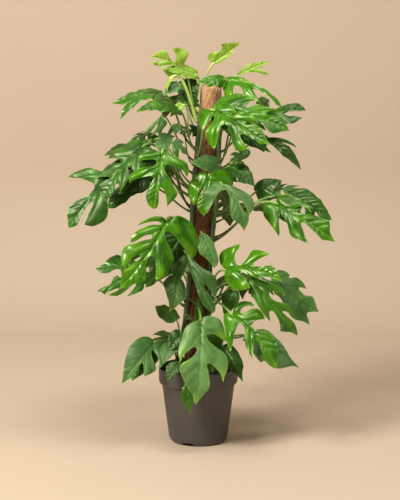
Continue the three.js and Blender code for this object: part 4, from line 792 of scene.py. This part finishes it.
def nearness(size, flat, closed, veins):
    """What each corner knows of its place on the leaf, for the relief and the finish."""
    near = {"mid": np.abs(flat[:, 1]) * size, "edge": distance_to(flat, closed) * size}
    gaps = np.full((len(veins), len(flat)), FAR_FROM_VEINS)
    for i, (line, _) in enumerate(veins):
        same = (flat[:, 1] * line[-1, 1]) >= 0
        gaps[i, same] = distance_to(flat[same], line)
    near["vein"] = gaps.min(0) * size
    near["depth"] = np.array([depth for _, depth in veins])[gaps.argmin(0)]
    # where the veins leave the midrib, the nearest counting most
    pull = 1 / (gaps + 0.01) ** 2
    near["root"] = (pull * np.array([line[0, 0] for line, _ in veins])[:, None]).sum(0) / pull.sum(0)
    tips = [line[-1] for line, depth in veins if depth == 1] + [np.array([1.0, 0.0])]
    near["tip"] = hump(np.min([np.hypot(*(flat - tip).T) for tip in tips], axis=0), TIP_REACH)
    return near


def corner_normals(places, faces):
    faces = np.array(faces)
    a, b, c = (places[faces[:, i]] for i in range(3))
    total = np.zeros_like(places)
    for i in range(3):
        np.add.at(total, faces[:, i], np.cross(b - a, c - a))
    return total / np.maximum(np.linalg.norm(total, axis=1), 1e-12)[:, None]


def solid_blade(leaf, stalk_radius, phase):
    flat, faces, closed, veins = blade_plan(leaf)
    size, _, up, _ = blade_axes(leaf)
    near = nearness(size, flat, closed, veins)
    sheet = on_blade(leaf, flat[:, 0], flat[:, 1])
    way = corner_normals(sheet, faces)
    if (way @ up).mean() < 0:
        faces, way = [face[::-1] for face in faces], -way
    calm = MATT_RELIEF if leaf["tone"] == "grey" else 1
    sheet = sheet + way * calm * relief(size, flat[:, 0], near, phase)[:, None]
    way = corner_normals(sheet, faces)
    half = np.where(near["edge"] < AT_EDGE, HALF_THICK_AT_EDGE, HALF_THICK)
    ridge = stalk_radius * RIDGE_SHARE * np.clip(1 - flat[:, 0], 0, 1) * hump(near["mid"], RIDGE_REACH)
    ridge = ridge * (near["edge"] > AT_EDGE)
    upper, lower = sheet + way * half[:, None], sheet - way * (half + ridge)[:, None]
    count = len(flat)
    sides = {(a, b) for face in faces for a, b in zip(face, face[1:] + face[:1])}
    rim = [(a, a + count, b + count, b) for a, b in sides if (b, a) not in sides]
    skins = faces + [[i + count for i in face[::-1]] for face in faces] + rim
    near = {key: np.tile(value, 2) for key, value in near.items()}
    near["under"] = np.repeat([0.0, 1.0], count)
    return np.concatenate([upper, lower]), skins, near


print("solid blade has", len(solid_blade(LEAVES["rim_front"], 1.5, 0)[1]), "faces")

# %% [markdown]
# Stalks, stems and aerial roots are all round bars along a path whose thickness changes. One function
# makes them: it carries a ring of points along the path without twisting it, and closes both ends.
# Blender's curves with a bevel would do it too, but a mesh lets the radius swell at every joint.

# %% Round bars and pieces
def tube_faces(rings, sides):
    """Faces round a stack of rings, whose two end points follow them."""
    first, last, end = rings * sides, rings * sides + 1, (rings - 1) * sides
    turns = [(j, (j + 1) % sides) for j in range(sides)]
    faces = [(i + j, i + k, i + sides + k, i + sides + j) for i in range(0, end, sides) for j, k in turns]
    return faces + [(k, j, first) for j, k in turns] + [(end + j, end + k, last) for j, k in turns]


def bar(path, radii, sides):
    path = np.asarray(path, float)
    runs = np.gradient(path, axis=0)
    runs /= np.linalg.norm(runs, axis=1)[:, None]
    across = unit(np.cross(runs[0], (0.3, 0.5, 0.81)))
    turns = np.arange(sides)[:, None] * FULL_TURN / sides
    rings = []
    for place, run, radius in zip(path, runs, radii):
        across = unit(across - run * (across @ run))
        ring = np.cos(turns) * across + np.sin(turns) * np.cross(run, across)
        rings.append(place + ring * radius)
    return np.concatenate([*rings, path[:1], path[-1:]]), tube_faces(len(path), sides)


def new_mesh(name, points, faces, materials, smooth_under=50):
    """A mesh from points in millimetres, smooth where its faces meet under an angle."""
    mesh = bpy.data.meshes.new(name)
    mesh.from_pydata(np.asarray(points) * MM, [], faces)
    for material in materials:
        mesh.materials.append(material)
    mesh.shade_smooth()
    mesh.set_sharp_from_angle(angle=math.radians(smooth_under))
    return mesh


def add_piece(name, mesh, slot, *replaced):
    """A piece of the plant, which rides on its one body and may take the place of solids."""
    piece = put(name, mesh)
    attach(piece, "root")
    if replaced:
        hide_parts(*replaced)
    return piece


def give(piece, **values):
    """Keeps numbers for each corner of a piece, for its material."""
    for name, numbers in values.items():
        kept = piece.data.attributes.new(name, "FLOAT", "POINT")
        kept.data.foreach_set("value", np.asarray(numbers, np.float32))


print("bar of 3 rings:", len(bar([(0, 0, 0), (0, 0, 1), (0, 0, 2)], [1, 1, 1], 8)[1]), "faces")

# %% [markdown]
# A leaf stalk leaves its stem with a clasping sheath, curves out under the weight of the blade, and
# swells again just before the blade, where the real plant turns its leaf to the light. A straight rod
# would look like wire. Its path is the same cubic curve as that of the solid.

# %% Leaf stalks
STALK_SUNK, STALK_SIDES = 5, 10
HANDLE = 0.3  # of the cubic curve, as a share of its reach


def stalk_radius(leaf):
    return leaf.get("stalk", mix(1.6, 3.0, min(1, blade_axes(leaf)[0] / 180)))


def stalk_path(leaf, steps):
    start = stem_at(leaf["stem"], leaf["height"])
    along = stem_run(leaf["stem"], leaf["height"])
    _, ahead, up, _ = blade_axes(leaf)
    base = leaf["base"]
    reach = np.linalg.norm(base - start)
    out = unit(base - start - along * ((base - start) @ along))
    rise = leaf.get("rise", 0.22) * max(0, base[2] - start[2])
    tilt = math.atan2(rise, HANDLE * reach)
    start = start + out * (STEMS[leaf["stem"]][0] + GAP + 0.85 * stalk_radius(leaf) * math.sin(tilt))
    into = unit(ahead + up * 4 * leaf["bow"])
    knots = [start, start + out * HANDLE * reach + along * rise,
             base - into * HANDLE * reach, base + into * STALK_SUNK]
    k = np.asarray(steps)[:, None]
    shares = (1 - k) ** 3, 3 * k * (1 - k) ** 2, 3 * k * k * (1 - k), k**3
    return sum(share * knot for share, knot in zip(shares, knots))


def stalk(leaf):
    steps = np.linspace(-0.004, 1, 30)
    clasp, knee = 0.55 * hump(steps, 0.07), 0.3 * hump(steps - 0.93, 0.04)
    radii = stalk_radius(leaf) * (0.9 + clasp + knee) * np.clip((1.02 - steps) / 0.06, 0.35, 1)
    points, faces = bar(stalk_path(leaf, steps), radii, STALK_SIDES)
    return points, faces, np.concatenate([np.repeat(steps, STALK_SIDES), [0, 1]])


print("points of one stalk:", len(stalk(LEAVES["front_big"])[0]))

# %% [markdown]
# Leaves of this plant are glossy above, and duller and paler below. The upper face has veins in their
# own colour, fine parallel lines between them, a thin pale margin, and yellower tips on young leaves.
# Old leaves are darker, and deeper tones get grey patches: bloom and painted sheen. One recipe makes all
# five tones.
# Pictures of real leaves would need unwrapping, and would fix the size of the veins.

# %% Leaf finish
def leaf_finish(name, main, deep, young, vein, rough, bloom_and_sheen=0.0, margin=0.5):
    bench = start_material(name)
    near = {key: bench.attribute(key) for key in ("mid", "vein", "edge", "tip", "under", "age", "root")}
    age, under = near["age"], near["under"]
    cloud = bench.noise(22.0, 3.0)
    base = bench.blend(bench.ease(cloud + age * 0.26 - 0.155, 0.36, 0.6), tint(*main), tint(*deep))
    lines = bench.node("ShaderNodeMath", {"operation": "SINE"}, {0: near["root"] * 130.0})
    base = bench.blend(bench.ease(lines, 0.1, 1.0, 0.0, 0.08), base, tint(*young))
    ripe = bench.ease(near["tip"] + bench.noise(35.0) * 0.5 - 0.25, 0.35, 1.0, 0.0, margin) * (1 - age)
    base = bench.blend(ripe, base, tint(*young))
    base = bench.blend(bench.ease(near["vein"], 9.0, 1.0, 0.0, 0.3), base, tint(*deep))
    base = bench.blend(bench.ease(near["edge"], 1.6, 0.1, 0.0, 0.6 * margin), base, tint(*young))
    rib = bench.ease(near["mid"], 1.0, 0.3) * 0.75
    side_rib = bench.ease(near["vein"], 0.8, 0.2) * 0.4
    base = bench.blend(rib.maths("MAXIMUM", rib, side_rib), base, tint(*vein))
    # pale grey patches: partly a waxy bloom, partly a painted sheen of broad reflected light
    if bloom_and_sheen:
        patches = bench.ease(bench.noise(9.0, 2.0), 0.4, 0.75, 0.0, bloom_and_sheen)
        base = bench.blend(patches, base, tint(132, 164, 122))
    duller = tint(*(0.5 * a + 0.5 * b for a, b in zip(main, (96, 142, 76))))
    base = bench.blend(under, base, bench.blend(0.3, base, duller))
    sunk = bench.ease(near["vein"], 1.3, 0.0) * 0.8 + bench.ease(near["mid"], 1.5, 0.0) * 0.7
    height = lines * 0.1 + bench.noise(420.0, 2.0) * 0.08 + bench.noise(32.0, 1.0) * 1.6 - sunk
    rough_here = under * 0.22 + age * 0.14 + bench.noise(60.0) * 0.12 + (rough - 0.1)
    shine = {"Specular_IOR_Level": 0.5, "Specular_Tint": (0.9, 1, 0.6, 1)}
    return bench.end(bench.surface(base, rough_here, bench.bump(height, 0.6, 0.0006), **shine))


# each tone: its main, deep, young and vein colours, its roughness, how strong the patches of bloom and
# painted sheen are, and how strong the margin is
TONES = {
    "lime": ((136, 166, 52), (108, 144, 40), (172, 202, 76), (188, 212, 112), 0.42),
    "bright": ((58, 113, 1), (24, 74, 1), (108, 158, 8), (96, 148, 22), 0.3),
    "mid": ((48, 99, 6), (22, 62, 4), (84, 132, 14), (84, 130, 32), 0.33, 0.06, 0.3),
    "dark": ((46, 97, 7), (23, 62, 5), (70, 120, 10), (70, 118, 24), 0.31, 0.06, 0.3),
    "grey": ((80, 123, 58), (47, 89, 33), (122, 162, 18), (44, 84, 22), 0.41, 0.16, 0.9),
}
TONES = {tone: leaf_finish(f"leaf_{tone}_skin", *values) for tone, values in TONES.items()}
print("leaf tones:", ", ".join(TONES))

# %% [markdown]
# Stalks are smooth and pale green, a little darker towards the stem, with fine lengthwise streaks.
# Lines drawn round an unwrapped stalk would stretch at its bends. The streaks come from a noise that
# is stretched along the height, which needs no unwrapping.

# %% Stalk finish
def stalk_finish(name, pale, deep):
    bench = start_material(name)
    streaks = bench.streaks(420, 420, 40)
    tone = bench.ease(streaks * 0.6 + bench.attribute("along") * 0.5, 0.25, 0.85)
    colour = bench.blend(tone, tint(*deep), tint(*pale))
    return bench.end(bench.surface(colour, streaks * 0.2 + 0.35, bench.bump(streaks, 0.2, 0.0005)))


STALKS = {
    "lime": stalk_finish("stalk_lime_skin", (186, 206, 112), (150, 178, 80)),
    "bright": stalk_finish("stalk_bright_skin", (134, 168, 74), (86, 118, 48)),
    "mid": stalk_finish("stalk_mid_skin", (124, 154, 66), (80, 102, 44)),
}
STALKS["dark"] = STALKS["grey"] = STALKS["mid"]
print("stalk tones:", len(set(STALKS.values())))

# %% [markdown]
# Now each row of the table becomes one leaf: blade and stalk in one mesh, with a material for each.
# Copies of one leaf would be lighter, but no two real leaves wave alike. The random numbers that vary
# the wave and the age come from a fixed seed, so that the plant is the same at every run.

# %% Grow the leaves
ON_STALK = {"mid": 50.0, "vein": 50.0, "edge": 50.0, "root": 0.0, "tip": 0.0, "under": 0.0}


def shifted(faces, count):
    return [tuple(i + count for i in face) for face in faces]


def grow_leaf(name, leaf, dice):
    phase, age = dice.uniform(0, 6), leaf.get("age", dice.uniform(0, 1))
    points, faces, near = solid_blade(leaf, stalk_radius(leaf), phase)
    stalk_points, stalk_faces, along = stalk(leaf)
    count, rest = len(points), len(stalk_points)
    skins = TONES[leaf.get("skin", leaf["tone"])], STALKS[leaf["tone"]]
    points, skinned = np.concatenate([points, stalk_points]), faces + shifted(stalk_faces, count)
    solids = ["leaf_" + name] if name in LEAVES else []
    mesh = new_mesh("grown_" + name, points, skinned, skins)
    piece = add_piece("grown_" + name, mesh, "leaf_" + leaf["tone"], *solids)
    slots = np.repeat(np.array([0, 1], np.int32), (len(faces), len(stalk_faces)))
    piece.data.polygons.foreach_set("material_index", slots)
    for key, value in ON_STALK.items():
        give(piece, **{key: np.concatenate([near[key], np.full(rest, value)])})
    give(piece, age=np.full(count + rest, age), along=np.concatenate([np.ones(count), along]))
    return piece


dice = np.random.default_rng(7)
grown = [grow_leaf(name, leaf, dice) for name, leaf in {**LEAVES, **SMALL_LEAVES}.items()]
print("leaves:", len(grown), "faces:", sum(len(piece.data.polygons) for piece in grown))

# %% [markdown]
# The four stems climb close to the pole. There is a joint at each leaf and where older leaves have
# dropped: the stem swells, and a ring shows where the sheath sat. Old stem is grey-green and turns
# corky brown in patches. A plain tube would read as a hose.

# %% Stems
STEM_SIDES, STEM_STEP = 16, 2.4
# joints of dropped leaves, in mm: above the foot, between two, below the tip, clear of other joints
FIRST_JOINT, JOINT_STEP, LAST_JOINT, JOINT_GAP = 70, 48, 20, 22
SWELL_REACH, RING_ABOVE, RING_REACH = 6.5, 7, 1.3


def stem_finish():
    bench = start_material("stem_skin")
    streaks = bench.streaks(260, 260, 30)
    green = bench.blend(bench.ease(streaks, 0.35, 0.7), tint(84, 112, 66), tint(48, 76, 40))
    cork = bench.ease(bench.noise(26.0, 5.0) + bench.attribute("joint") * 0.24, 0.6, 0.82)
    brown = bench.blend(streaks, tint(122, 96, 66), tint(62, 48, 34))
    height = streaks * 0.6 + bench.noise(300.0, 3.0) * cork * 0.8
    colour = bench.blend(cork, green, brown)
    return bench.end(bench.surface(colour, cork * 0.25 + 0.5, bench.bump(height, 0.5, 0.001)))


def joints_of(name):
    low, high = STEMS[name][1][0][0], STEMS[name][1][-1][0]
    held = [leaf["height"] for leaf in LEAVES.values() if leaf["stem"] == name]
    spare = range(low + FIRST_JOINT, high - LAST_JOINT, JOINT_STEP)
    return sorted(held + [z for z in spare if min(abs(z - h) for h in held) > JOINT_GAP])


def make_stem(name, skin):
    radius, rows = STEMS[name]
    heights = np.arange(rows[0][0], rows[-1][0] + 0.1, STEM_STEP)
    from_joint = np.array([heights - z for z in joints_of(name)])
    swell, ring = hump(from_joint, SWELL_REACH).sum(0), hump(from_joint - RING_ABOVE, RING_REACH).sum(0)
    close = np.clip((rows[-1][0] - heights) / 9, 0.25, 1) ** 0.5
    radii = radius * (0.92 + 0.16 * np.minimum(swell, 1) - 0.06 * ring) * close
    wander = 0.5 * np.sin(heights / 17)[:, None] * np.array([0.7, -0.6, 0])
    points, faces = bar(np.array([stem_at(name, z) for z in heights]) + wander, radii, STEM_SIDES)
    mesh = new_mesh("climbing_stem_" + name, points, faces, [skin])
    piece = add_piece("climbing_stem_" + name, mesh, "stem", "vine_" + name)
    give(piece, joint=np.concatenate([np.repeat(np.minimum(swell + ring, 1), STEM_SIDES), [0, 0]]))


skin = stem_finish()
for name in STEMS:
    make_stem(name, skin)
print("joints:", sum(len(joints_of(name)) for name in STEMS))

# %% [markdown]
# Aerial roots start at the joints above the pot and hold the stems to the coir. They are thin, brown
# and crooked, and creep down and round the pole. All of them are one mesh, because they share a
# finish and never move apart.

# %% Aerial roots
LOWEST_ROOT, ROOT_SIDES = 200, 6


def root_path(name, z, dice):
    away = stem_at(name, z) - pole_at(z)
    turn, far_off = math.atan2(away[1], away[0]), np.linalg.norm(away[:2]) - 0.3 * STEMS[name][0]
    swing, drop = dice.uniform(0.5, 1.5) * dice.choice([-1, 1]), dice.uniform(8, 48)
    phase, rows = dice.uniform(0, 6), []
    for k in np.linspace(0, 1, 14):
        far = mix(far_off, POLE_RADIUS + 1.1, min(1, 3.2 * k))
        angle = turn + swing * k + 0.05 * math.sin(9 * k + phase)
        here = pole_at(z - drop * k**1.3 + 2 * math.sin(7 * k + phase) * k)
        rows.append(here + far * round_z(angle))
    return rows


def make_roots(dice):
    points, faces = np.empty((0, 3)), []
    for name, z in [(name, z) for name in STEMS for z in joints_of(name) if z >= LOWEST_ROOT]:
        for _ in range(2 + (dice.random() < 0.5)):
            thick = dice.uniform(0.7, 1.3)
            path = root_path(name, z + dice.uniform(-5, 5), dice)
            more, skins = bar(path, thick * np.linspace(1.1, 0.45, len(path)), ROOT_SIDES)
            faces += shifted(skins, len(points))
            points = np.concatenate([points, more])
    bench = start_material("root_bark")
    tone = bench.blend(bench.noise(60.0), tint(122, 84, 54), tint(66, 44, 30))
    bark = bench.end(bench.surface(tone, 0.8, bench.bump(bench.noise(500.0), 0.5, 0.0008)))
    return add_piece("aerial_roots", new_mesh("aerial_roots", points, faces, [bark]), "stem")


print("root faces:", len(make_roots(np.random.default_rng(3)).data.polygons))

# %% [markdown]
# The pole is a stake bound in coir, the husk fibre of coconuts. Its body is a lumpy roll, and on it
# lie thousands of loose fibres. The body is a mesh whose radius varies; the fibres are Geometry Nodes
# that scatter one bent hair over it. Particle hair could do that, but the export needs real faces.

# %% Coir body
COIR_SIDES, COIR_RINGS = 88, 330


def coir_finish(name, tones, rough):
    bench = start_material(name)
    hairs = bench.streaks(500, 500, 90, detail=4.0)
    pale = bench.ease(bench.attribute("rise"), 0.82, 0.97)
    mixed = bench.ease(hairs * 0.7 + bench.attribute("lot") * 0.5 + pale * 0.4, 0.3, 1.05)
    stops = [(place, tint(*tone)) for place, tone in zip((0.0, 0.5, 1.0), tones)]
    ramp = bench.node("ShaderNodeValToRGB", {"stops": stops}, {0: mixed})
    return bench.end(bench.surface(ramp, rough, bench.bump(hairs, 0.9, 0.002)))


def lumps(turn, z):
    """How far the coir stands off its mean radius, in mm."""
    broad = 0.9 * np.sin(3 * turn + 0.05 * z) * np.cos(0.031 * z + 2 * turn)
    return broad + 0.5 * np.sin(11 * turn - 0.21 * z) + 0.35 * np.sin(23 * turn + 0.5 * z)


def make_coir(dice):
    heights = np.linspace(0, np.linalg.norm(POLE_TOP - POLE_FOOT), COIR_RINGS)
    path = POLE_FOOT + heights[:, None] * POLE_AXIS
    points, faces = bar(path, np.full(COIR_RINGS, POLE_RADIUS), COIR_SIDES)
    turns = np.tile(np.arange(COIR_SIDES) * FULL_TURN / COIR_SIDES, COIR_RINGS)
    tall = np.repeat(heights, COIR_SIDES)
    bulge = lumps(turns, tall) + dice.normal(0, 0.22, len(tall)) - 0.6
    out = points[:-2] - np.repeat(path, COIR_SIDES, axis=0)
    points[:-2] += out / np.linalg.norm(out, axis=1)[:, None] * bulge[:, None]
    skin = coir_finish("coir_mat", [(60, 38, 21), (150, 98, 56), (200, 153, 110)], 0.95)
    mesh = new_mesh("coir_roll", points, faces, [skin], smooth_under=180)
    piece = add_piece("coir_roll", mesh, "coir", "coir_pole")
    give(piece, lot=np.full(len(points), 0.25), rise=np.concatenate([tall / heights[-1], [0, 1]]))
    return piece


coir = make_coir(np.random.default_rng(11))
print("coir body faces:", len(coir.data.polygons))

# %% [markdown]
# A scatter in Geometry Nodes: points over a surface, a small shape on each, turned upright and then a
# random way, scaled by chance, and at last made real faces with their own material. The tree has
# named inputs for its sizes and a fixed seed. Each shape keeps a random number, its lot, so that the
# finish can give it its own tone.

# %% Scatter tool
def start_tree(name, **sizes):
    """A tree with an input for its geometry, its density, its seed and each size."""
    tree = bpy.data.node_groups.new(name, "GeometryNodeTree")
    inputs = [("Geometry", "Geometry", None), ("Density", "Float", 1000.0), ("Seed", "Int", 1)]
    inputs += [(title, "Float", value) for title, value in sizes.items()]
    for title, kind, value in inputs:
        socket = tree.interface.new_socket(name=title, in_out="INPUT", socket_type="NodeSocket" + kind)
        if value is not None:
            socket.default_value = value
    tree.interface.new_socket(name="Geometry", in_out="OUTPUT", socket_type="NodeSocketGeometry")
    bench = Bench(tree)
    entry = tree.nodes.new("NodeGroupInput")
    return bench, {socket.name: Wire(bench, socket) for socket in entry.outputs if socket.name}


def scatter(bench, given, shape, spin, small, material):
    def chance(low, high, seed):
        limits = {"Min": low, "Max": high, "Seed": seed}
        return bench.node("FunctionNodeRandomValue", None, limits, out="Value")

    def geometry(kind, **sockets):
        return bench.node("GeometryNode" + kind, None, {"Geometry": done, **sockets})

    def rotation(kind, settings=None, **sockets):
        named = {key.replace("_", " "): value for key, value in sockets.items()}
        return bench.node("FunctionNode" + kind, settings, named)

    spots = {"Mesh": given["Geometry"], "Density": given["Density"], "Seed": given["Seed"]}
    points = bench.node("GeometryNodeDistributePointsOnFaces", None, spots)
    normal = Wire(bench, bench.find(points.socket.node.outputs, "Normal"))
    turn = rotation("AlignRotationToVector", {"axis": "Z"}, Vector=normal)
    lean = {"axis": "X", "pivot_axis": "Z"}
    turn = rotation("AlignRotationToVector", lean, Rotation=turn, Vector=(0.0, 0.0, 1.0))
    limits = zip("XYZ", (0.25, 0.2, spin))
    twist = {axis: chance(-limit, limit, 5 + i) for i, (axis, limit) in enumerate(limits)}
    twist = rotation("EulerToRotation", Euler=bench.node("ShaderNodeCombineXYZ", None, twist))
    turn = rotation("RotateRotation", {"rotation_space": "LOCAL"}, Rotation=turn, Rotate_By=twist)
    size = {axis: chance(small, 1.0, 8 + i) for i, axis in enumerate("XYZ")}
    size = bench.node("ShaderNodeCombineXYZ", None, size)
    placed = {"Points": points, "Instance": shape, "Rotation": turn, "Scale": size}
    done = bench.node("GeometryNodeInstanceOnPoints", None, placed)
    kept = {"Geometry": done, "Name": "lot", "Value": chance(0.0, 1.0, 21)}
    whole_shapes = {"data_type": "FLOAT", "domain": "INSTANCE"}
    done = bench.node("GeometryNodeStoreNamedAttribute", whole_shapes, kept)
    done = geometry("RealizeInstances")
    done = geometry("SetShadeSmooth")
    done = geometry("SetMaterial", Material=material)
    end = bench.tree.nodes.new("NodeGroupOutput")
    bench.tree.links.new(done.socket, end.inputs[0])
    return bench.tree


def evaluated_mesh(thing):
    return bpy.data.meshes.new_from_object(thing.evaluated_get(bpy.context.evaluated_depsgraph_get()))


def grow_from(carrier, tree, values, name, slot):
    """Runs a tree on a copy of a mesh and keeps the result as a plain piece."""
    holder = put(name + "_bed", carrier.data)
    modifier = holder.modifiers.new("scatter", "NODES")
    modifier.node_group = tree
    for item in tree.interface.items_tree:
        if item.in_out == "INPUT" and item.name in values:
            modifier[item.identifier] = values[item.name]
    mesh = evaluated_mesh(holder)
    bpy.data.objects.remove(holder)
    mesh.name = name
    return add_piece(name, mesh, slot)


# %% [markdown]
# One coir hair is a three-sided bar along a gentle curve, up to 22 mm long and about half a
# millimetre thick. A flat strip would be lighter, but it vanishes when it is seen edge on. The bar has
# only 11 faces, because it is repeated thousands of times.

# %% Coir fibres
def fibre_tree(material):
    bench, given = start_tree("coir_fibre_scatter", Length=0.022, Thickness=0.0003)
    half = given["Length"] * 0.5
    ends = {"Start": {"X": half * -1, "Z": 0.0004}, "Middle": {"Y": half * 0.35, "Z": 0.0016}}
    ends["End"] = {"X": half, "Z": 0.0002}
    line = {key: bench.node("ShaderNodeCombineXYZ", None, place) for key, place in ends.items()}
    line = bench.node("GeometryNodeCurveQuadraticBezier", None, {"Resolution": 3, **line})
    profile = {"Resolution": 3, "Radius": given["Thickness"]}
    profile = bench.node("GeometryNodeCurvePrimitiveCircle", None, profile)
    hair = {"Curve": line, "Profile Curve": profile, "Fill Caps": True}
    hair = bench.node("GeometryNodeCurveToMesh", None, hair)
    return scatter(bench, given, hair, 0.75, 0.5, material)


tree = fibre_tree(coir_finish("coir_hair", [(102, 64, 38), (182, 124, 76), (232, 194, 148)], 0.75))
fibres = grow_from(coir, tree, {"Density": 62000.0, "Seed": 4}, "coir_fibres", "coir")
print("fibre faces:", len(fibres.data.polygons))

# %% [markdown]
# The potting soil is a shallow heap of dark peat and bark. A smooth disc would look like dough, so its
# body is a disc with lumps, and crumbs of twenty faces lie on it, scattered by the same tool.

# %% Soil
SOIL_RADIUS, SOIL_LEVEL, SOIL_FOOT = 90.4, 168, 150
SOIL_SIDES, SOIL_RINGS = 120, 34


def soil_finish(name, dark, pale):
    bench = start_material(name)
    tone = bench.ease(bench.noise(160.0, 5.0) * 0.7 + bench.attribute("lot") * 0.4, 0.3, 0.85)
    grain = bench.bump(bench.noise(520.0, 4.0), 0.8, 0.0015)
    return bench.end(bench.surface(bench.blend(tone, tint(*dark), tint(*pale)), 0.95, grain))


def soil_height(x, y):
    slow = math.sin(0.11 * x + 1) * math.cos(0.13 * y) + 0.5 * math.sin(0.21 * (x - y))
    return SOIL_LEVEL + 2.4 * slow + 0.8 * math.sin(0.7 * x) * math.sin(0.63 * y + 2)


def make_soil():
    rings = [round_z(FULL_TURN * j / SOIL_SIDES) for j in range(SOIL_SIDES)]
    rings = [way * SOIL_RADIUS * i / SOIL_RINGS for i in range(1, SOIL_RINGS + 1) for way in rings]
    points = [(x, y, soil_height(x, y)) for x, y, _ in [(0, 0, 0), *rings]]
    points += [(x, y, SOIL_FOOT) for x, y, _ in [*rings[-SOIL_SIDES:], (0, 0, 0)]]
    faces, foot = [], 1 + SOIL_RINGS * SOIL_SIDES
    for j in range(SOIL_SIDES):
        k = (j + 1) % SOIL_SIDES
        faces.append((0, 1 + j, 1 + k))
        for a in range(1, foot, SOIL_SIDES):
            b = a + SOIL_SIDES
            faces.append((a + j, b + j, b + k, a + k))
        faces.append((foot + k, foot + j, len(points) - 1))
    skin = soil_finish("potting_soil", (30, 19, 13), (74, 50, 34))
    return add_piece("soil_heap", new_mesh("soil_heap", points, faces, [skin]), "soil", "soil")


def crumb_tree(material):
    bench, given = start_tree("soil_crumb_scatter", Size=0.0026)
    crumb = {"Radius": given["Size"], "Subdivisions": 1}
    crumb = bench.node("GeometryNodeMeshIcoSphere", None, crumb)
    return scatter(bench, given, crumb, 3.1, 0.25, material)


soil = make_soil()
tree = crumb_tree(soil_finish("soil_crumb", (38, 24, 16), (104, 74, 50)))
crumbs = grow_from(soil, tree, {"Density": 62000.0, "Seed": 2}, "soil_crumbs", "soil")
print("soil faces:", len(soil.data.polygons), "crumb faces:", len(crumbs.data.polygons))

# %% [markdown]
# The nursery pot is thin blown plastic: a tapered body with a rounded foot, a shoulder, and a rim band
# that stands proud so that the pots stack. Its wall is one closed profile turned about the middle,
# with its corners eased by up to 6 mm. Cylinders with a Bevel would do too, but a profile gives each
# corner its own softness. The drain notches are cut from the foot.

# %% Pot
# each row: radius, height and how far its corner is eased
POT_PROFILE = [
    (0, 3.5, 0), (52, 3.5, 2), (56, 0.4, 2), (64, 0.4, 3), (70.2, 9, 6), (86.6, 138, 1.5),
    (88.3, 141.2, 1.5), (92.4, 142.6, 2.2), (94.0, 147, 2), (94.6, 175.6, 0.6), (95, 176.6, 0.6),
    (95, 180, 1), (92.9, 180, 0.8), (92.3, 176, 1.2), (91.4, 146, 2), (86, 141, 2), (84.4, 137, 2),
    (68, 8, 4), (0, 6.5, 0),
]
POT_SIDES = 160
NOTCH_TURNS, NOTCH_FOOT, NOTCH_TOP = (249, 339, 429, 519), -5, 7.4
NOTCH_NEAR, NOTCH_FAR, NOTCH_HALF = 50, 84, 13


def eased(profile):
    """The rings of a profile whose inner corners are rounded."""
    rows = []
    for back, here, ahead in zip(profile, profile[1:], profile[2:]):
        corner, ends = np.array(here[:2], float), []
        for end in (back, ahead):
            reach = min(here[2], 0.45 * math.dist(end[:2], corner))
            ends.append(corner + unit(np.array(end[:2], float) - corner) * reach)
        for k in (0, 0.25, 0.5, 0.75, 1):
            rows.append(mix(mix(ends[0], corner, k), mix(corner, ends[1], k), k))
    return rows


def pot_finish():
    bench = start_material("pot_plastic")
    cloud, flow = bench.noise(14.0, 4.0), bench.streaks(90, 90, 5)
    tone = bench.ease(cloud * 0.8 + flow * 0.2, 0.3, 0.7)
    colour = bench.blend(tone, tint(73, 69, 64), tint(65, 61, 57))
    high = bench.node("ShaderNodeSeparateXYZ", None, {0: bench.place()}, out="Z")
    dust = bench.ease(high, 0.012, 0.0) * bench.ease(bench.noise(70.0), 0.35, 0.7) * 0.5
    grain = bench.bump(bench.noise(900.0, 3.0) * 0.6 + flow * 0.5, 0.22, 0.0008)
    colour = bench.blend(dust, colour, tint(132, 118, 98))
    return bench.end(bench.surface(colour, cloud * 0.14 + 0.42, grain))


def make_notches():
    """Four boxes round the foot, which are cut away from the pot."""
    corners, faces = [], []
    outline = [(NOTCH_NEAR, -NOTCH_HALF), (NOTCH_FAR, -NOTCH_HALF), (NOTCH_FAR, NOTCH_HALF),
               (NOTCH_NEAR, NOTCH_HALF)]
    box = [(0, 3, 2, 1), (4, 5, 6, 7), (0, 1, 5, 4), (1, 2, 6, 5), (2, 3, 7, 6), (3, 0, 4, 7)]
    for turn in NOTCH_TURNS:
        out, along = round_z(math.radians(turn)), round_z(math.radians(turn + 90))
        faces += shifted(box, len(corners))
        corners += [(out * r + along * w + (0, 0, z)) * MM
                    for z in (NOTCH_FOOT, NOTCH_TOP) for r, w in outline]
    mesh = bpy.data.meshes.new("notches")
    mesh.from_pydata(corners, [], faces)
    return put("notches", mesh)


def make_pot():
    rings = eased(POT_PROFILE)
    ways = [round_z(FULL_TURN * j / POT_SIDES) for j in range(POT_SIDES)]
    points = [radius * way + (0, 0, z) for radius, z in rings for way in ways]
    points += [(0, 0, POT_PROFILE[0][1]), (0, 0, POT_PROFILE[-1][1])]
    faces = tube_faces(len(rings), POT_SIDES)
    mesh = new_mesh("nursery_pot", points, faces, [pot_finish()], smooth_under=35)
    uncut, cutter = put("uncut_pot", mesh), make_notches()
    cut = uncut.modifiers.new("notches", "BOOLEAN")
    cut.operation, cut.solver, cut.object = "DIFFERENCE", "EXACT", cutter
    mesh = evaluated_mesh(uncut)
    for thing in (uncut, cutter):
        bpy.data.objects.remove(thing)
    return add_piece("nursery_pot", mesh, "pot", "pot")


print("pot faces:", len(make_pot().data.polygons))

# %% [markdown]
# The stake shows only as a round end in the coir at the top. The CAD solid is right as it is, so it
# only gets a finish: bare wood with end grain rings about its own middle, which a Mapping node finds.

# %% Stake
def stake_finish():
    bench = start_material("stake_wood")
    wave = {"Vector": bench.place(Location=(-0.031, -0.004, 0.0)), "Scale": 160.0, "Distortion": 2.5}
    rings = bench.node("ShaderNodeTexWave", {"wave_type": "RINGS", "rings_direction": "Z"}, wave)
    colour = bench.blend(rings, tint(184, 146, 98), tint(142, 104, 64))
    return bench.end(bench.surface(colour, 0.8, bench.bump(rings, 0.3, 0.0005)))


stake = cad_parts["stake"]
stake.data.materials.clear()
stake.data.materials.append(stake_finish())
print("stake finished")
